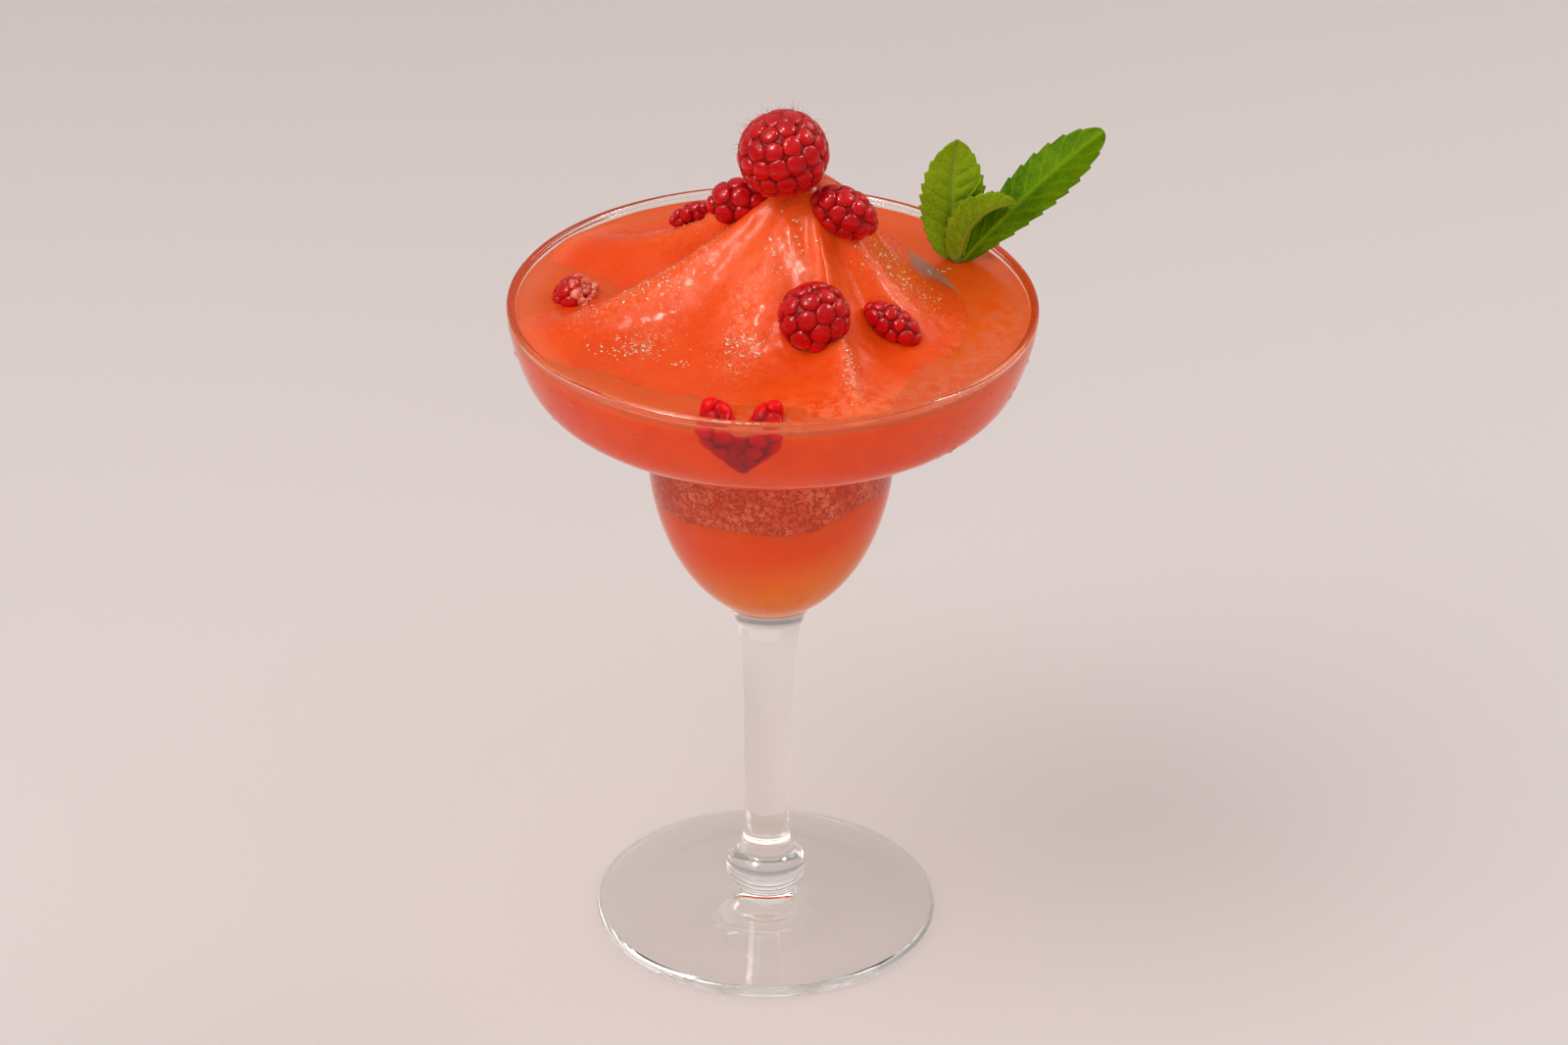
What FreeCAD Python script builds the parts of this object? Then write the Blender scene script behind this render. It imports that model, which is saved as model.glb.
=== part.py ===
"""A frozen margarita in its stepped stem glass, with raspberries and a sprig of mint.

Frame: millimetres, +Z up. The origin is the centre of the ring that the foot stands on.
-Y is the front of the drink. Azimuths are degrees in plan, counted from +X towards +Y.

The glass is one revolved solid. Its cavity is filled from below by the amber drink, the
froth band, the frozen slush, which rises to a ridged peak, and the pool of thinned drink
that lies round the peak. Each garnish has a socket cut for it in what holds it.
"""
import FreeCAD, Part
import math
import os
import random

Vector = FreeCAD.Vector
UP = Vector(0, 0, 1)

# ---------------------------------------------------------------- glass: driving sizes
rim_radius = 57.0
wall = 1.8
neck_radius = 27.0          # outside of the lower cup where the wide bowl leaves it
step_height = 126.5         # underside of the wide bowl at the neck
bowl_height = 27.2          # from there up to the rim
rim_height = step_height + bowl_height
crease_radius = 2.2         # rounding outside, between the cup and the wide bowl
cup_centre_height = 120.0   # the cup's wall is upright from here to the step
cup_drop = 42.0             # from there down to where the cup's outside would close
cup_floor_height = 83.5     # lowest point inside
stem_join_height = 82.0     # the stem's flare runs into the cup here
stem_flare_radius = 8.3
stem_flare_height = 77.8
stem_upper_radius = 6.4
stem_upper_height = 70.0
stem_waist_radius = 5.2
stem_waist_height = 33.0
knop_radius = 9.0
knop_height = 11.6
knop_half_thickness = 4.6
knop_neck_radius = 5.9
foot_radius = 38.2
foot_edge = 2.8
foot_crown_height = 5.6     # top of the foot where it meets the knop's underside
foot_crown_radius = 11.0
ring_inner_radius = 31.0    # the flat ring that touches the table starts here
base_hollow = 1.2           # height of the hollow under the foot

# How far along the wide bowl's radius and height, from the neck to the rim, its wall passes.
BOWL_SHAPE = ((0.60, 0.190), (0.82, 0.365), (0.943, 0.650))

# ------------------------------------------------------------- contents: driving sizes
fill_clearance = 0.1        # between the contents and the glass
drink_level = rim_height - 2.5
froth_height = 110.3        # underside of the froth on the axis
froth_tilt = 0.11           # rise of that underside for each millimetre towards +X
froth_wave = 1.1
froth_wave_length = 31.0
froth_top_height = step_height - crease_radius

peak_height = drink_level + 29.3
peak_x = 7.0
peak_y = 5.0
peak_rounding = 8.0
shoulder_x = 16.0           # a rounded shoulder behind the peak, to its right
shoulder_y = 10.5
shoulder_rise = 5.0
shoulder_spread = 7.0
mound_floor = drink_level - 9.0
mound_fade = 22.4           # the slush falls to 1/e of its height in this distance

# Ridges (longer fade) and hollows (shorter) that run down from the peak:
# azimuth, added fade, half angle.
RIDGES = (
    (198.0, 13.0, 12.0),    # main crest, to the left
    (174.0, -5.4, 10.0),    # valley behind it
    (152.0, 12.0, 13.0),    # lobe at the back left
    (222.0, 2.5, 24.0),     # broad front left face
    (281.0, 7.0, 8.0),      # narrow crest at the front
    (306.0, -4.0, 10.0),    # hollow beside it
    (10.0, -4.0, 45.0),     # steeper right side
)
surface_samples = 45

# ------------------------------------------------------------- garnish: driving sizes
socket_clearance = 0.2
drupelet_spacing = 1.62     # in drupelet radii
drupelet_unevenness = 0.1
core_inset = 0.95           # in drupelet radii, from the berry's outside to its core

# name: (x, y, height above the drink) of the centre, (axis), radius across the axis,
# half length, drupelet radius
BERRIES = {
    "raspberry_top": ((1.8, 1.2, 36.4), (-0.25, -0.15, 0.95), 10.2, 9.7, 2.15),
    "raspberry_peak_left": ((-7.3, 6.2, 22.8), (0.97, 0.10, 0.12), 5.4, 7.4, 1.95),
    "raspberry_peak_right": ((14.9, -1.4, 24.1), (0.88, -0.10, -0.46), 5.6, 8.1, 1.95),
    "raspberry_left": ((-42.2, 4.6, 0.2), (0.75, -0.25, 0.60), 5.2, 5.6, 1.75),
    "raspberry_front_centre": ((8.7, -22.6, 9.8), (0.35, -0.75, 0.50), 8.0, 7.8, 2.1),
    "raspberry_front_right": ((25.3, -15.8, 5.1), (0.82, -0.30, -0.48), 4.0, 7.3, 1.55),
    "raspberry_fragment": ((-18.2, 20.6, 12.6), (-0.80, 0.28, -0.53), 2.5, 5.6, 1.35),
}
torn_berry = "raspberry_left"
torn_hollow_radius = 2.9

# The split berry stands against the front wall: two lobes that meet at its tip.
heart_tip = Vector(-5.4, -48.7, drink_level - 8.4)
heart_shoulders = (
    Vector(-12.6, -48.3, drink_level + 0.4),
    Vector(0.2, -48.9, drink_level + 0.2),
)
heart_lobe_radius = 3.9
heart_lobe_overrun = 2.8    # a lobe's end past its shoulder and past the tip
heart_drupelet = 1.8

# ---------------------------------------------------------------- mint: driving sizes
stem_foot = Vector(38.2, 22.4, drink_level - 10.2)
stem_head = Vector(40.0, 24.9, drink_level + 3.0)
mint_stem_radius = 1.25
leaf_thickness = 0.55
leaf_sections = 16
tooth_depth = 0.07          # share of the leaf's width
leaf_bluntness = 0.55       # the lower, the blunter a leaf's ends
petiole_half_width = 0.55

# name: base from the stem's head, tip from the base, bow of the midrib, side, half width,
# upward fold of each half in degrees, belly (over 1 where it is widest past its middle)
LEAVES = {
    "upright": ((-1.2, 0.8, -0.6), (0.8, 3.6, 24.4), (-0.6, 0.8, 0.0), (1, 0.10, 0.05), 7.0, 10.0, 1.05),
    "long": ((1.2, -0.2, -0.6), (29.6, 0.4, 29.0), (-0.4, 0.0, 1.2), (-0.64, 0.30, 0.64), 5.8, 22.0, 1.35),
    "folded": ((0.5, -1.2, -0.6), (12.0, -3.2, 13.6), (-2.6, 0.0, 3.0), (-0.60, -0.45, 0.60), 5.2, 42.0, 1.0),
    "narrow": ((0.3, 0.2, -0.4), (4.6, -0.6, 17.0), (-1.6, 0.0, 0.0), (0.9, 0.4, -0.1), 1.9, 30.0, 0.9),
}


# ------------------------------------------------------------------------- helpers
def at(radius, height):
    """Return a point of a profile in the XZ plane."""
    return Vector(radius, 0, height)


def curve_through(points, first_tangent, last_tangent):
    """Return a smooth curve through points with given end directions."""
    curve = Part.BSplineCurve()
    curve.interpolate(Points=points, InitialTangent=first_tangent, FinalTangent=last_tangent)
    return curve


def ellipse_quarter(radius, drop, centre_height, first_height):
    """Return the lower right quarter of an ellipse, from first_height up to its side."""
    first_angle = math.acos(min(1.0, (centre_height - first_height) / drop))
    steps = 12
    points = []
    for i in range(steps + 1):
        angle = first_angle + (math.pi / 2 - first_angle) * i / steps
        points.append(at(radius * math.sin(angle), centre_height - drop * math.cos(angle)))
    first_tangent = Vector(radius * math.cos(first_angle), 0, drop * math.sin(first_angle))
    return curve_through(points, first_tangent, UP)


def offset_curve(curve, distance):
    """Return the curve moved to its left by distance."""
    steps = 14
    points = []
    tangents = []
    for i in range(steps + 1):
        share = i / steps
        parameter = curve.FirstParameter * (1 - share) + curve.LastParameter * share
        tangent = curve.tangent(parameter)[0]
        points.append(curve.value(parameter) + Vector(-tangent.z, 0, tangent.x) * distance)
        tangents.append(tangent)
    return curve_through(points, tangents[0], tangents[-1])


def revolve(edges):
    """Return the solid that a closed profile of edges makes round the Z axis."""
    face = Part.Face(Part.Wire(Part.sortEdges(edges)[0]))
    return face.revolve(Vector(0, 0, 0), UP, 360)


def line(start, end):
    """Return a straight edge."""
    return Part.LineSegment(start, end).toShape()


def arc(start, middle, end):
    """Return an edge on the circle through three points."""
    return Part.Arc(start, middle, end).toShape()


def height_field(height_at):
    """Return the solid that lies under a surface given as height_at(x, y)."""
    half = rim_radius + 3.0
    rows = []
    for i in range(surface_samples):
        x = half * (2 * i / (surface_samples - 1) - 1)
        rows.append([])
        for j in range(surface_samples):
            y = half * (2 * j / (surface_samples - 1) - 1)
            rows[-1].append(Vector(x, y, height_at(x, y)))
    surface = Part.BSplineSurface()
    surface.interpolate(rows)
    return surface.toShape().extrude(Vector(0, 0, -rim_height))


# --------------------------------------------------------------------------- glass
def bowl_curve():
    """Return the outside of the wide bowl, from the neck to the rim's rounding."""
    start = at(neck_radius + crease_radius, step_height)
    points = [start]
    for along, up in BOWL_SHAPE:
        radius = neck_radius + (rim_radius - neck_radius) * along
        points.append(at(radius, step_height + (rim_height - step_height) * up))
    points.append(at(rim_radius, rim_height - wall / 2))
    return curve_through(points, Vector(1, 0, 0), UP)


def crease_arc(radius):
    """Return the arc of a radius about the crease's centre, from the cup to the bowl."""
    centre = at(neck_radius + crease_radius, step_height - crease_radius)
    middle = centre + Vector(-1, 0, 1).normalize() * radius
    return arc(centre - Vector(radius, 0, 0), middle, centre + Vector(0, 0, radius))


def cavity_edges(gap):
    """Return the profile of the cavity, from its lowest point to the rim's rounding.

    It lies gap inside the glass, so that the glass and its contents share one shape.
    """
    radius = neck_radius - wall - gap
    floor = cup_floor_height + gap
    cup = ellipse_quarter(radius, cup_centre_height - floor, cup_centre_height, floor)
    side = line(at(radius, cup_centre_height), at(radius, step_height - crease_radius))
    bowl = offset_curve(bowl_curve(), wall + gap)
    return [cup.toShape(), side, crease_arc(crease_radius + wall + gap), bowl.toShape()]


def foot_and_stem_edges():
    """Return the outside of the foot, the knop and the stem, up to the cup."""
    edge_centre = foot_radius - foot_edge / 2
    ring_inner = at(ring_inner_radius, 0)
    knop_bottom = at(knop_neck_radius + 0.9, knop_height - knop_half_thickness)
    knop_top = at(knop_neck_radius, knop_height + knop_half_thickness)
    hollow = curve_through([at(0, base_hollow), ring_inner], Vector(1, 0, 0), Vector(1, 0, -0.15))
    foot_top = curve_through(
        [at(edge_centre, foot_edge), at(foot_crown_radius, foot_crown_height), knop_bottom],
        Vector(-1, 0, 0.02),
        Vector(-1, 0, 0.6),
    )
    stem = curve_through(
        [
            knop_top,
            at(stem_waist_radius, stem_waist_height),
            at(stem_upper_radius, stem_upper_height),
            at(stem_flare_radius, stem_flare_height),
            cup_curve().value(cup_curve().FirstParameter),
        ],
        Vector(-0.25, 0, 1),
        cup_curve().tangent(cup_curve().FirstParameter)[0],
    )
    return [
        hollow.toShape(),
        line(ring_inner, at(edge_centre, 0)),
        arc(at(edge_centre, 0), at(foot_radius, foot_edge / 2), at(edge_centre, foot_edge)),
        foot_top.toShape(),
        arc(knop_bottom, at(knop_radius, knop_height), knop_top),
        stem.toShape(),
    ]


def cup_curve():
    """Return the outside of the lower cup, from the stem's flare to its upright wall."""
    return ellipse_quarter(neck_radius, cup_drop, cup_centre_height, stem_join_height)


def glass():
    """Return the whole glass: foot, knop, stem, lower cup and wide bowl in one piece."""
    outer_rim = at(rim_radius, rim_height - wall / 2)
    inner_rim = at(rim_radius - wall, rim_height - wall / 2)
    edges = foot_and_stem_edges()
    edges.append(cup_curve().toShape())
    edges.append(line(at(neck_radius, cup_centre_height), at(neck_radius, step_height - crease_radius)))
    edges.append(crease_arc(crease_radius))
    edges.append(bowl_curve().toShape())
    edges.append(arc(outer_rim, at(rim_radius - wall / 2, rim_height), inner_rim))
    edges += cavity_edges(0.0)
    edges.append(line(at(0, cup_floor_height), at(0, base_hollow)))
    return revolve(edges)


# ------------------------------------------------------------------------ contents
def cavity():
    """Return all that the contents may fill, carried on upwards past the peak."""
    radius = rim_radius - wall - fill_clearance
    top = peak_height + peak_rounding
    edges = cavity_edges(fill_clearance)
    edges.append(line(at(radius, rim_height - wall / 2), at(radius, top)))
    edges.append(line(at(radius, top), at(0, top)))
    edges.append(line(at(0, top), at(0, cup_floor_height + fill_clearance)))
    return revolve(edges)


def slab(bottom, top):
    """Return a disc wider than the glass between two heights."""
    return Part.makeCylinder(rim_radius + 10, top - bottom, at(0, bottom))


def froth_underside(x, y):
    """Return the height of the wavy face between the amber drink and its froth."""
    wave = math.sin(2 * math.pi * (x + 0.6 * y) / froth_wave_length)
    return froth_height + froth_tilt * x + froth_wave * wave


def angle_between(first, second):
    """Return the smaller angle between two azimuths, in degrees."""
    return abs((first - second + 180.0) % 360.0 - 180.0)


def fade_at(azimuth):
    """Return the distance in which the slush falls to 1/e of its height, at an azimuth."""
    fade = mound_fade
    for ridge_azimuth, added, half_angle in RIDGES:
        fade += added * math.exp(-(angle_between(azimuth, ridge_azimuth) / half_angle) ** 2)
    return fade


def mound_height(x, y):
    """Return the height of the slush: a soft peak that fades out along its ridges."""
    distance = math.hypot(x - peak_x, y - peak_y)
    azimuth = math.degrees(math.atan2(y - peak_y, x - peak_x))
    rounded = math.hypot(distance, peak_rounding) - peak_rounding
    from_shoulder = math.hypot(x - shoulder_x, y - shoulder_y) / shoulder_spread
    peak = (peak_height - mound_floor) * math.exp(-rounded / fade_at(azimuth))
    return mound_floor + peak + shoulder_rise * math.exp(-from_shoulder ** 2)


# ------------------------------------------------------------------------- garnish
def ellipsoid(centre, axis, radius, half_length):
    """Return an ellipsoid of revolution about an axis through its centre."""
    steps = 16
    points = []
    for i in range(steps + 1):
        angle = math.pi * i / steps
        points.append(Vector(radius * math.sin(angle), 0, -half_length * math.cos(angle)))
    side = curve_through(points, Vector(1, 0, 0), Vector(-1, 0, 0)).toShape()
    solid = revolve([side, line(points[-1], points[0])])
    solid.Placement = FreeCAD.Placement(centre, FreeCAD.Rotation(UP, axis))
    return solid


def capsule(start, end, radius):
    """Return a rod with round ends, whose flat ends would be at start and end."""
    rod = Part.makeCylinder(radius, (end - start).Length, start, end - start)
    return rod.fuse([Part.makeSphere(radius, start), Part.makeSphere(radius, end)])


def drupelet_sphere(centre, outward, sideways, radius):
    """Return a sphere whose seam faces inward and whose poles lie in its two neighbours."""
    sphere = Part.makeSphere(radius)
    turn = FreeCAD.Rotation(-outward, outward.cross(sideways), sideways, "XZY")
    sphere.Placement = FreeCAD.Placement(centre, turn)
    return sphere


def ring_angles(ring_radius, reach, spacing):
    """Return polar angles from tip to base that space rings evenly along an ellipse."""
    steps = 180
    lengths = [0.0]
    for i in range(steps):
        angle = math.pi * (i + 0.5) / steps
        speed = math.hypot(ring_radius * math.cos(angle), reach * math.sin(angle))
        lengths.append(lengths[-1] + speed * math.pi / steps)
    rings = max(3, round(lengths[-1] / spacing))
    angles = []
    for i in range(rings + 1):
        target = lengths[-1] * i / rings
        nearest = min(range(steps + 1), key=lambda k: abs(lengths[k] - target))
        angles.append(math.pi * nearest / steps)
    return angles


def drupelets(centre, axis, radius, half_length, drupelet, source):
    """Return the spheres of a berry: staggered rings of drupelets round its core.

    The drupelets touch the berry's ellipsoid from inside, so that it serves as the socket.
    """
    turn = FreeCAD.Rotation(UP, axis)
    ring_radius = radius - drupelet
    reach = half_length - drupelet
    spacing = drupelet_spacing * drupelet
    spheres = []
    for angle in ring_angles(ring_radius, reach, spacing):
        ring = ring_radius * math.sin(angle)
        count = max(1, round(2 * math.pi * ring / spacing))
        first = source.uniform(0, 2 * math.pi)
        for j in range(count):
            around = first + 2 * math.pi * j / count
            size = drupelet * (1 - drupelet_unevenness * source.random())
            place = Vector(ring * math.cos(around), ring * math.sin(around), reach * math.cos(angle))
            outward = Vector(place.x / ring_radius, place.y / ring_radius, place.z / reach).normalize()
            sideways = Vector(-math.sin(around), math.cos(around), 0)
            directions = turn.multVec(outward), turn.multVec(sideways)
            spheres.append(drupelet_sphere(centre + turn.multVec(place), *directions, size))
    core = radius - core_inset * drupelet
    core_reach = max(0.0, half_length - core_inset * drupelet - core)
    halves = math.ceil(core_reach / core)
    for i in range(-halves, halves + 1):
        share = i / max(1, halves)
        size = core * (1 - 0.08 * abs(share))
        spheres.append(Part.makeSphere(size, centre + turn.multVec(UP * core_reach * share)))
    return spheres


def fused(solids):
    """Return solids joined to one, with no pocket left inside."""
    made = solids[0].multiFuse(solids[1:])
    if len(made.Solids) != 1:
        raise ValueError("the solids to join lie apart")
    joined = made.Solids[0]
    if len(joined.Shells) > 1:
        joined = Part.Solid(joined.OuterShell)
    return joined


def berry(name):
    """Return a raspberry and the shapes that its socket is cut with."""
    place, direction, radius, half_length, drupelet = BERRIES[name]
    centre = Vector(*place) + UP * drink_level
    axis = Vector(*direction).normalize()
    source = random.Random(name)
    solid = fused(drupelets(centre, axis, radius, half_length, drupelet, source))
    if name == torn_berry:
        hollow = Part.makeSphere(torn_hollow_radius, centre + axis * half_length * 0.8)
        solid = solid.cut(hollow).Solids[0]
    gap = socket_clearance
    return solid, [ellipsoid(centre, axis, radius + gap, half_length + gap)]


def heart():
    """Return the split raspberry, two lobes that run to one tip, and its socket's shapes."""
    spheres = []
    sockets = []
    source = random.Random("heart")
    for shoulder in heart_shoulders:
        axis = (heart_tip - shoulder).normalize()
        centre = (heart_tip + shoulder) * 0.5
        half_length = (heart_tip - shoulder).Length / 2 + heart_lobe_overrun
        spheres += drupelets(centre, axis, heart_lobe_radius, half_length, heart_drupelet, source)
        rod = axis * (half_length - heart_lobe_radius)
        sockets.append(capsule(centre - rod, centre + rod, heart_lobe_radius + socket_clearance))
    return fused(spheres), sockets


# ---------------------------------------------------------------------------- mint
def leaf_half_width(share, half_width, tooth, belly):
    """Return a leaf's half width at a share of its length, with its saw teeth."""
    outline = math.sin(math.pi * share ** belly) ** leaf_bluntness
    teeth = 1 - tooth_depth * tooth
    return petiole_half_width * (1 - share) + half_width * outline * teeth


def leaf(base, tip, bow, side, half_width, fold, belly):
    """Return a thin leaf along a bowed midrib, its two halves folded up towards each other."""
    across = side.normalize()
    rows = []
    for i in range(leaf_sections + 1):
        share = i / leaf_sections
        middle = base * (1 - share) + tip * share + bow * (4 * share * (1 - share))
        along = (tip - base + bow * (4 - 8 * share)).normalize()
        flat = (across - along * across.dot(along)).normalize()
        normal = flat.cross(along)
        reach = leaf_half_width(share, half_width, i % 2, belly) if i < leaf_sections else 0.15
        points = []
        for step in (-1.0, -0.5, 0.0, 0.5, 1.0):
            lift = abs(step) * math.sin(math.radians(fold))
            spread = step * math.cos(math.radians(fold))
            points.append(middle + (flat * spread + normal * lift) * reach)
        rows.append((points, [point + normal * leaf_thickness for point in points]))
    faces = []

    def patch(a, b, c, d):
        for corners in ((a, b, c), (a, c, d)):
            faces.append(Part.Face(Part.makePolygon(list(corners) + [corners[0]])))

    last = len(rows[0][0]) - 1
    for (low, high), (next_low, next_high) in zip(rows, rows[1:]):
        for j in range(last):
            patch(low[j], low[j + 1], next_low[j + 1], next_low[j])
            patch(high[j], next_high[j], next_high[j + 1], high[j + 1])
        patch(low[0], next_low[0], next_high[0], high[0])
        patch(low[last], high[last], next_high[last], next_low[last])
    for j in range(last):
        patch(rows[0][0][j], rows[0][1][j], rows[0][1][j + 1], rows[0][0][j + 1])
        patch(rows[-1][0][j], rows[-1][0][j + 1], rows[-1][1][j + 1], rows[-1][1][j])
    shell = Part.Shell(faces)
    solid = Part.Solid(shell)
    if solid.Volume < 0:
        solid.reverse()
    return solid


def mint():
    """Return the sprig, one piece of stem and leaves, and the shape of its stem's socket."""
    direction = stem_head - stem_foot
    stem = Part.makeCylinder(mint_stem_radius, direction.Length, stem_foot, direction)
    head = Part.makeSphere(mint_stem_radius * 1.25, stem_head)
    pieces = [stem, head]
    for base, tip, bow, side, half_width, fold, belly in LEAVES.values():
        start = stem_head + Vector(*base)
        end = start + Vector(*tip)
        pieces.append(leaf(start, end, Vector(*bow), Vector(*side), half_width, fold, belly))
    socket_radius = mint_stem_radius + socket_clearance
    socket_foot = stem_foot - direction.normalize() * socket_clearance
    socket = Part.makeCylinder(socket_radius, stem_head.z - stem_foot.z + 3, socket_foot, direction)
    return fused(pieces), [socket]


# ------------------------------------------------------------------------ assembly
def garnishes():
    """Return each garnish's solid and the shapes of its socket, by node name."""
    made = {}
    for name in BERRIES:
        made[name] = berry(name)
    made["raspberry_heart"] = heart()
    made["mint_sprig"] = mint()
    return made


def contents(sockets):
    """Return the layers of the drink by node name, cut out round the garnishes."""
    space = cavity()
    froth_face = height_field(froth_underside)
    mound = height_field(mound_height)
    below_step = space.common(slab(cup_floor_height, froth_top_height))
    above_step = space.common(slab(froth_top_height, peak_height + 5))
    return {
        "amber_drink": below_step.common(froth_face),
        "froth_band": below_step.cut(froth_face),
        "slush": above_step.common(mound).cut(sockets),
        "pool": above_step.common(slab(froth_top_height, drink_level)).cut([mound] + sockets),
    }


def build():
    """Return every piece of the drink by node name."""
    made = garnishes()
    pieces = {"glass": glass()}
    pieces.update(contents([shape for _, socket in made.values() for shape in socket]))
    pieces.update({name: solid for name, (solid, _) in made.items()})
    return pieces


def write(pieces):
    """Write each piece to a STEP file of its own and print its size."""
    os.makedirs("parts", exist_ok=True)
    for name, shape in pieces.items():
        largest = max(shape.Solids, key=lambda solid: solid.Volume)
        if not largest.isValid():
            raise ValueError(name + " is not a valid solid")
        box = largest.BoundBox
        print(f"{name}: {len(shape.Solids)} solid(s), {largest.Volume / 1000:.2f} ml,"
              f" z {box.ZMin:.1f} to {box.ZMax:.1f}")
        largest.exportStep("parts/" + name + ".step")


write(build())
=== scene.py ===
"""A frozen margarita in its stepped stem glass, with raspberries and a sprig of mint.

Shapes are in millimetres and follow the part's own frame: the origin is the centre of the
ring that the foot stands on, +Z is up and -Y is the front. Azimuths are degrees in plan,
counted from +X towards +Y. Each finished piece is scaled to metres with its place in its mesh,
so heights, places and grain sizes in the materials are in metres.
"""

import logging
import random
from dataclasses import dataclass
from enum import Enum
from math import acos, atan2, cos, degrees, dist, exp, hypot, log1p, pi, radians, sin, sqrt, tau
from typing import Callable

import bmesh
import bpy
import numpy as np
from bmesh.types import BMEdge, BMesh, BMLayerItem, BMVert
from bpy.types import Material, Node, NodeSocket, NodeTree, Object
from mathutils import Matrix, Quaternion, Vector, noise


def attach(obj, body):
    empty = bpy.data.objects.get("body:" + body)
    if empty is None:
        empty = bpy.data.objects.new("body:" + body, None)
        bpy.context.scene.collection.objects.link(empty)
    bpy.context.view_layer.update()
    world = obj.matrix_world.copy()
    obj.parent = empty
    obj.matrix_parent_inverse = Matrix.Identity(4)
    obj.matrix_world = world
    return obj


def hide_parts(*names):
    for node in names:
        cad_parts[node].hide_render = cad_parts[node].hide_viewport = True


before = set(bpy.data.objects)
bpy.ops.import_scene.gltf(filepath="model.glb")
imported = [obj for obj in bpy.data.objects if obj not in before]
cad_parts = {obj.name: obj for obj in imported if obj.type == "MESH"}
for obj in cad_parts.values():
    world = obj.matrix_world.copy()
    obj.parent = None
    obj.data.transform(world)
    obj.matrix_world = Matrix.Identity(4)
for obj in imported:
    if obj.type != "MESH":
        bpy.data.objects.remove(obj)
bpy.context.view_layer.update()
LOG = logging.getLogger("frozen_margarita")

MM = 0.001
UP = Vector((0, 0, 1))
LEVEL = 151.2
FROTH_TOP = 124.3
Pair = tuple[float, float]
Profile = list[Pair]
Point = tuple[float, float, float]
Colour = tuple[float, float, float]
Field = Callable[[float, float], float]


class Slot(Enum):
    """The record's material slots."""

    GLASS = "clear_glass"
    AMBER = "amber_liquid"
    FROTH = "pink_froth"
    SLUSH = "orange_slush"
    POOL = "thin_pool"
    RASPBERRY = "raspberry_skin"
    MINT = "mint_leaf"


# ------------------------------------------------------------------------- node wiring
class Wiring:
    """Adds and links the nodes of one material or node group."""

    def __init__(self, tree: NodeTree) -> None:
        """Keep the tree that is being wired."""
        self.tree = tree

    def add(self, kind: str, inputs: dict[object, object] | None = None, **settings: object) -> Node:
        """Add a node.

        Args:
            kind: the node's type without its "ShaderNode" prefix.
            inputs: what its inputs take, by name or number.
            settings: its properties, such as operation.
        Returns:
            The node.
        """
        node = self.tree.nodes.new("ShaderNode" + kind)
        for name, value in settings.items():
            setattr(node, name, value)
        for key, value in (inputs or {}).items():
            self.link(value, node.inputs[key])
        return node

    def link(self, source: object, target: object) -> None:
        """Join an output to an input, or set the input where the source is a number or a colour."""
        if isinstance(source, NodeSocket):
            self.tree.links.new(source, target)
        else:
            target.default_value = (*source, 1.0) if isinstance(source, tuple) else source

    def math(self, operation: str, *values: object, clamp: bool = False) -> object:
        """Return the output of a Math node."""
        return self.add("Math", dict(enumerate(values)), operation=operation, use_clamp=clamp).outputs[0]

    def times(self, first: object, second: object, *more: object) -> object:
        """Return values multiplied together."""
        product = self.math("MULTIPLY", first, second)
        return self.times(product, *more) if more else product

    def ramp(self, value: object, low: object, high: object, to_low: float = 0, to_high: float = 1) -> object:
        """Return a value mapped smoothly from low..high to to_low..to_high."""
        limits = {"Value": value, "From Min": low, "From Max": high, "To Min": to_low, "To Max": to_high}
        return self.add("MapRange", limits, interpolation_type="SMOOTHSTEP").outputs[0]

    def blend(self, share: object, first: object, second: object) -> object:
        """Return two colours mixed by a share."""
        return self.add("Mix", {0: share, 6: first, 7: second}, data_type="RGBA").outputs[2]

    def attribute(self, name: str) -> object:
        """Return a value that the mesh keeps at its points."""
        return self.add("Attribute", attribute_name=name).outputs["Fac"]

    def split(self, vector: object) -> list[object]:
        """Return the X, Y and Z of a vector."""
        return list(self.add("SeparateXYZ", {0: vector}).outputs)

    def noise(self, vector: object, per_metre: object, detail: float = 2.0, roughness: float = 0.5) -> object:
        """Return a noise value at a number of features per metre."""
        inputs = {"Vector": vector, "Scale": per_metre, "Detail": detail, "Roughness": roughness}
        return self.add("TexNoise", inputs).outputs["Fac"]

    def cells(self, vector: object, per_metre: object, feature: str = "F1") -> dict[str, object]:
        """Return the outputs of a Voronoi node at a number of cells per metre."""
        return self.add("TexVoronoi", {"Vector": vector, "Scale": per_metre}, feature=feature).outputs

    def bump(self, height: object, strength: float, depth_mm: float, under: object = None) -> object:
        """Return the normal that a height gives.

        Args:
            height: a value from 0 to 1.
            strength: how far the normal is turned.
            depth_mm: the relief's height.
            under: a normal that this one adds to.
        """
        node = self.add("Bump", {"Strength": strength, "Distance": depth_mm * MM, "Height": height})
        if under is not None:
            self.link(under, node.inputs["Normal"])
        return node.outputs[0]


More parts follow.
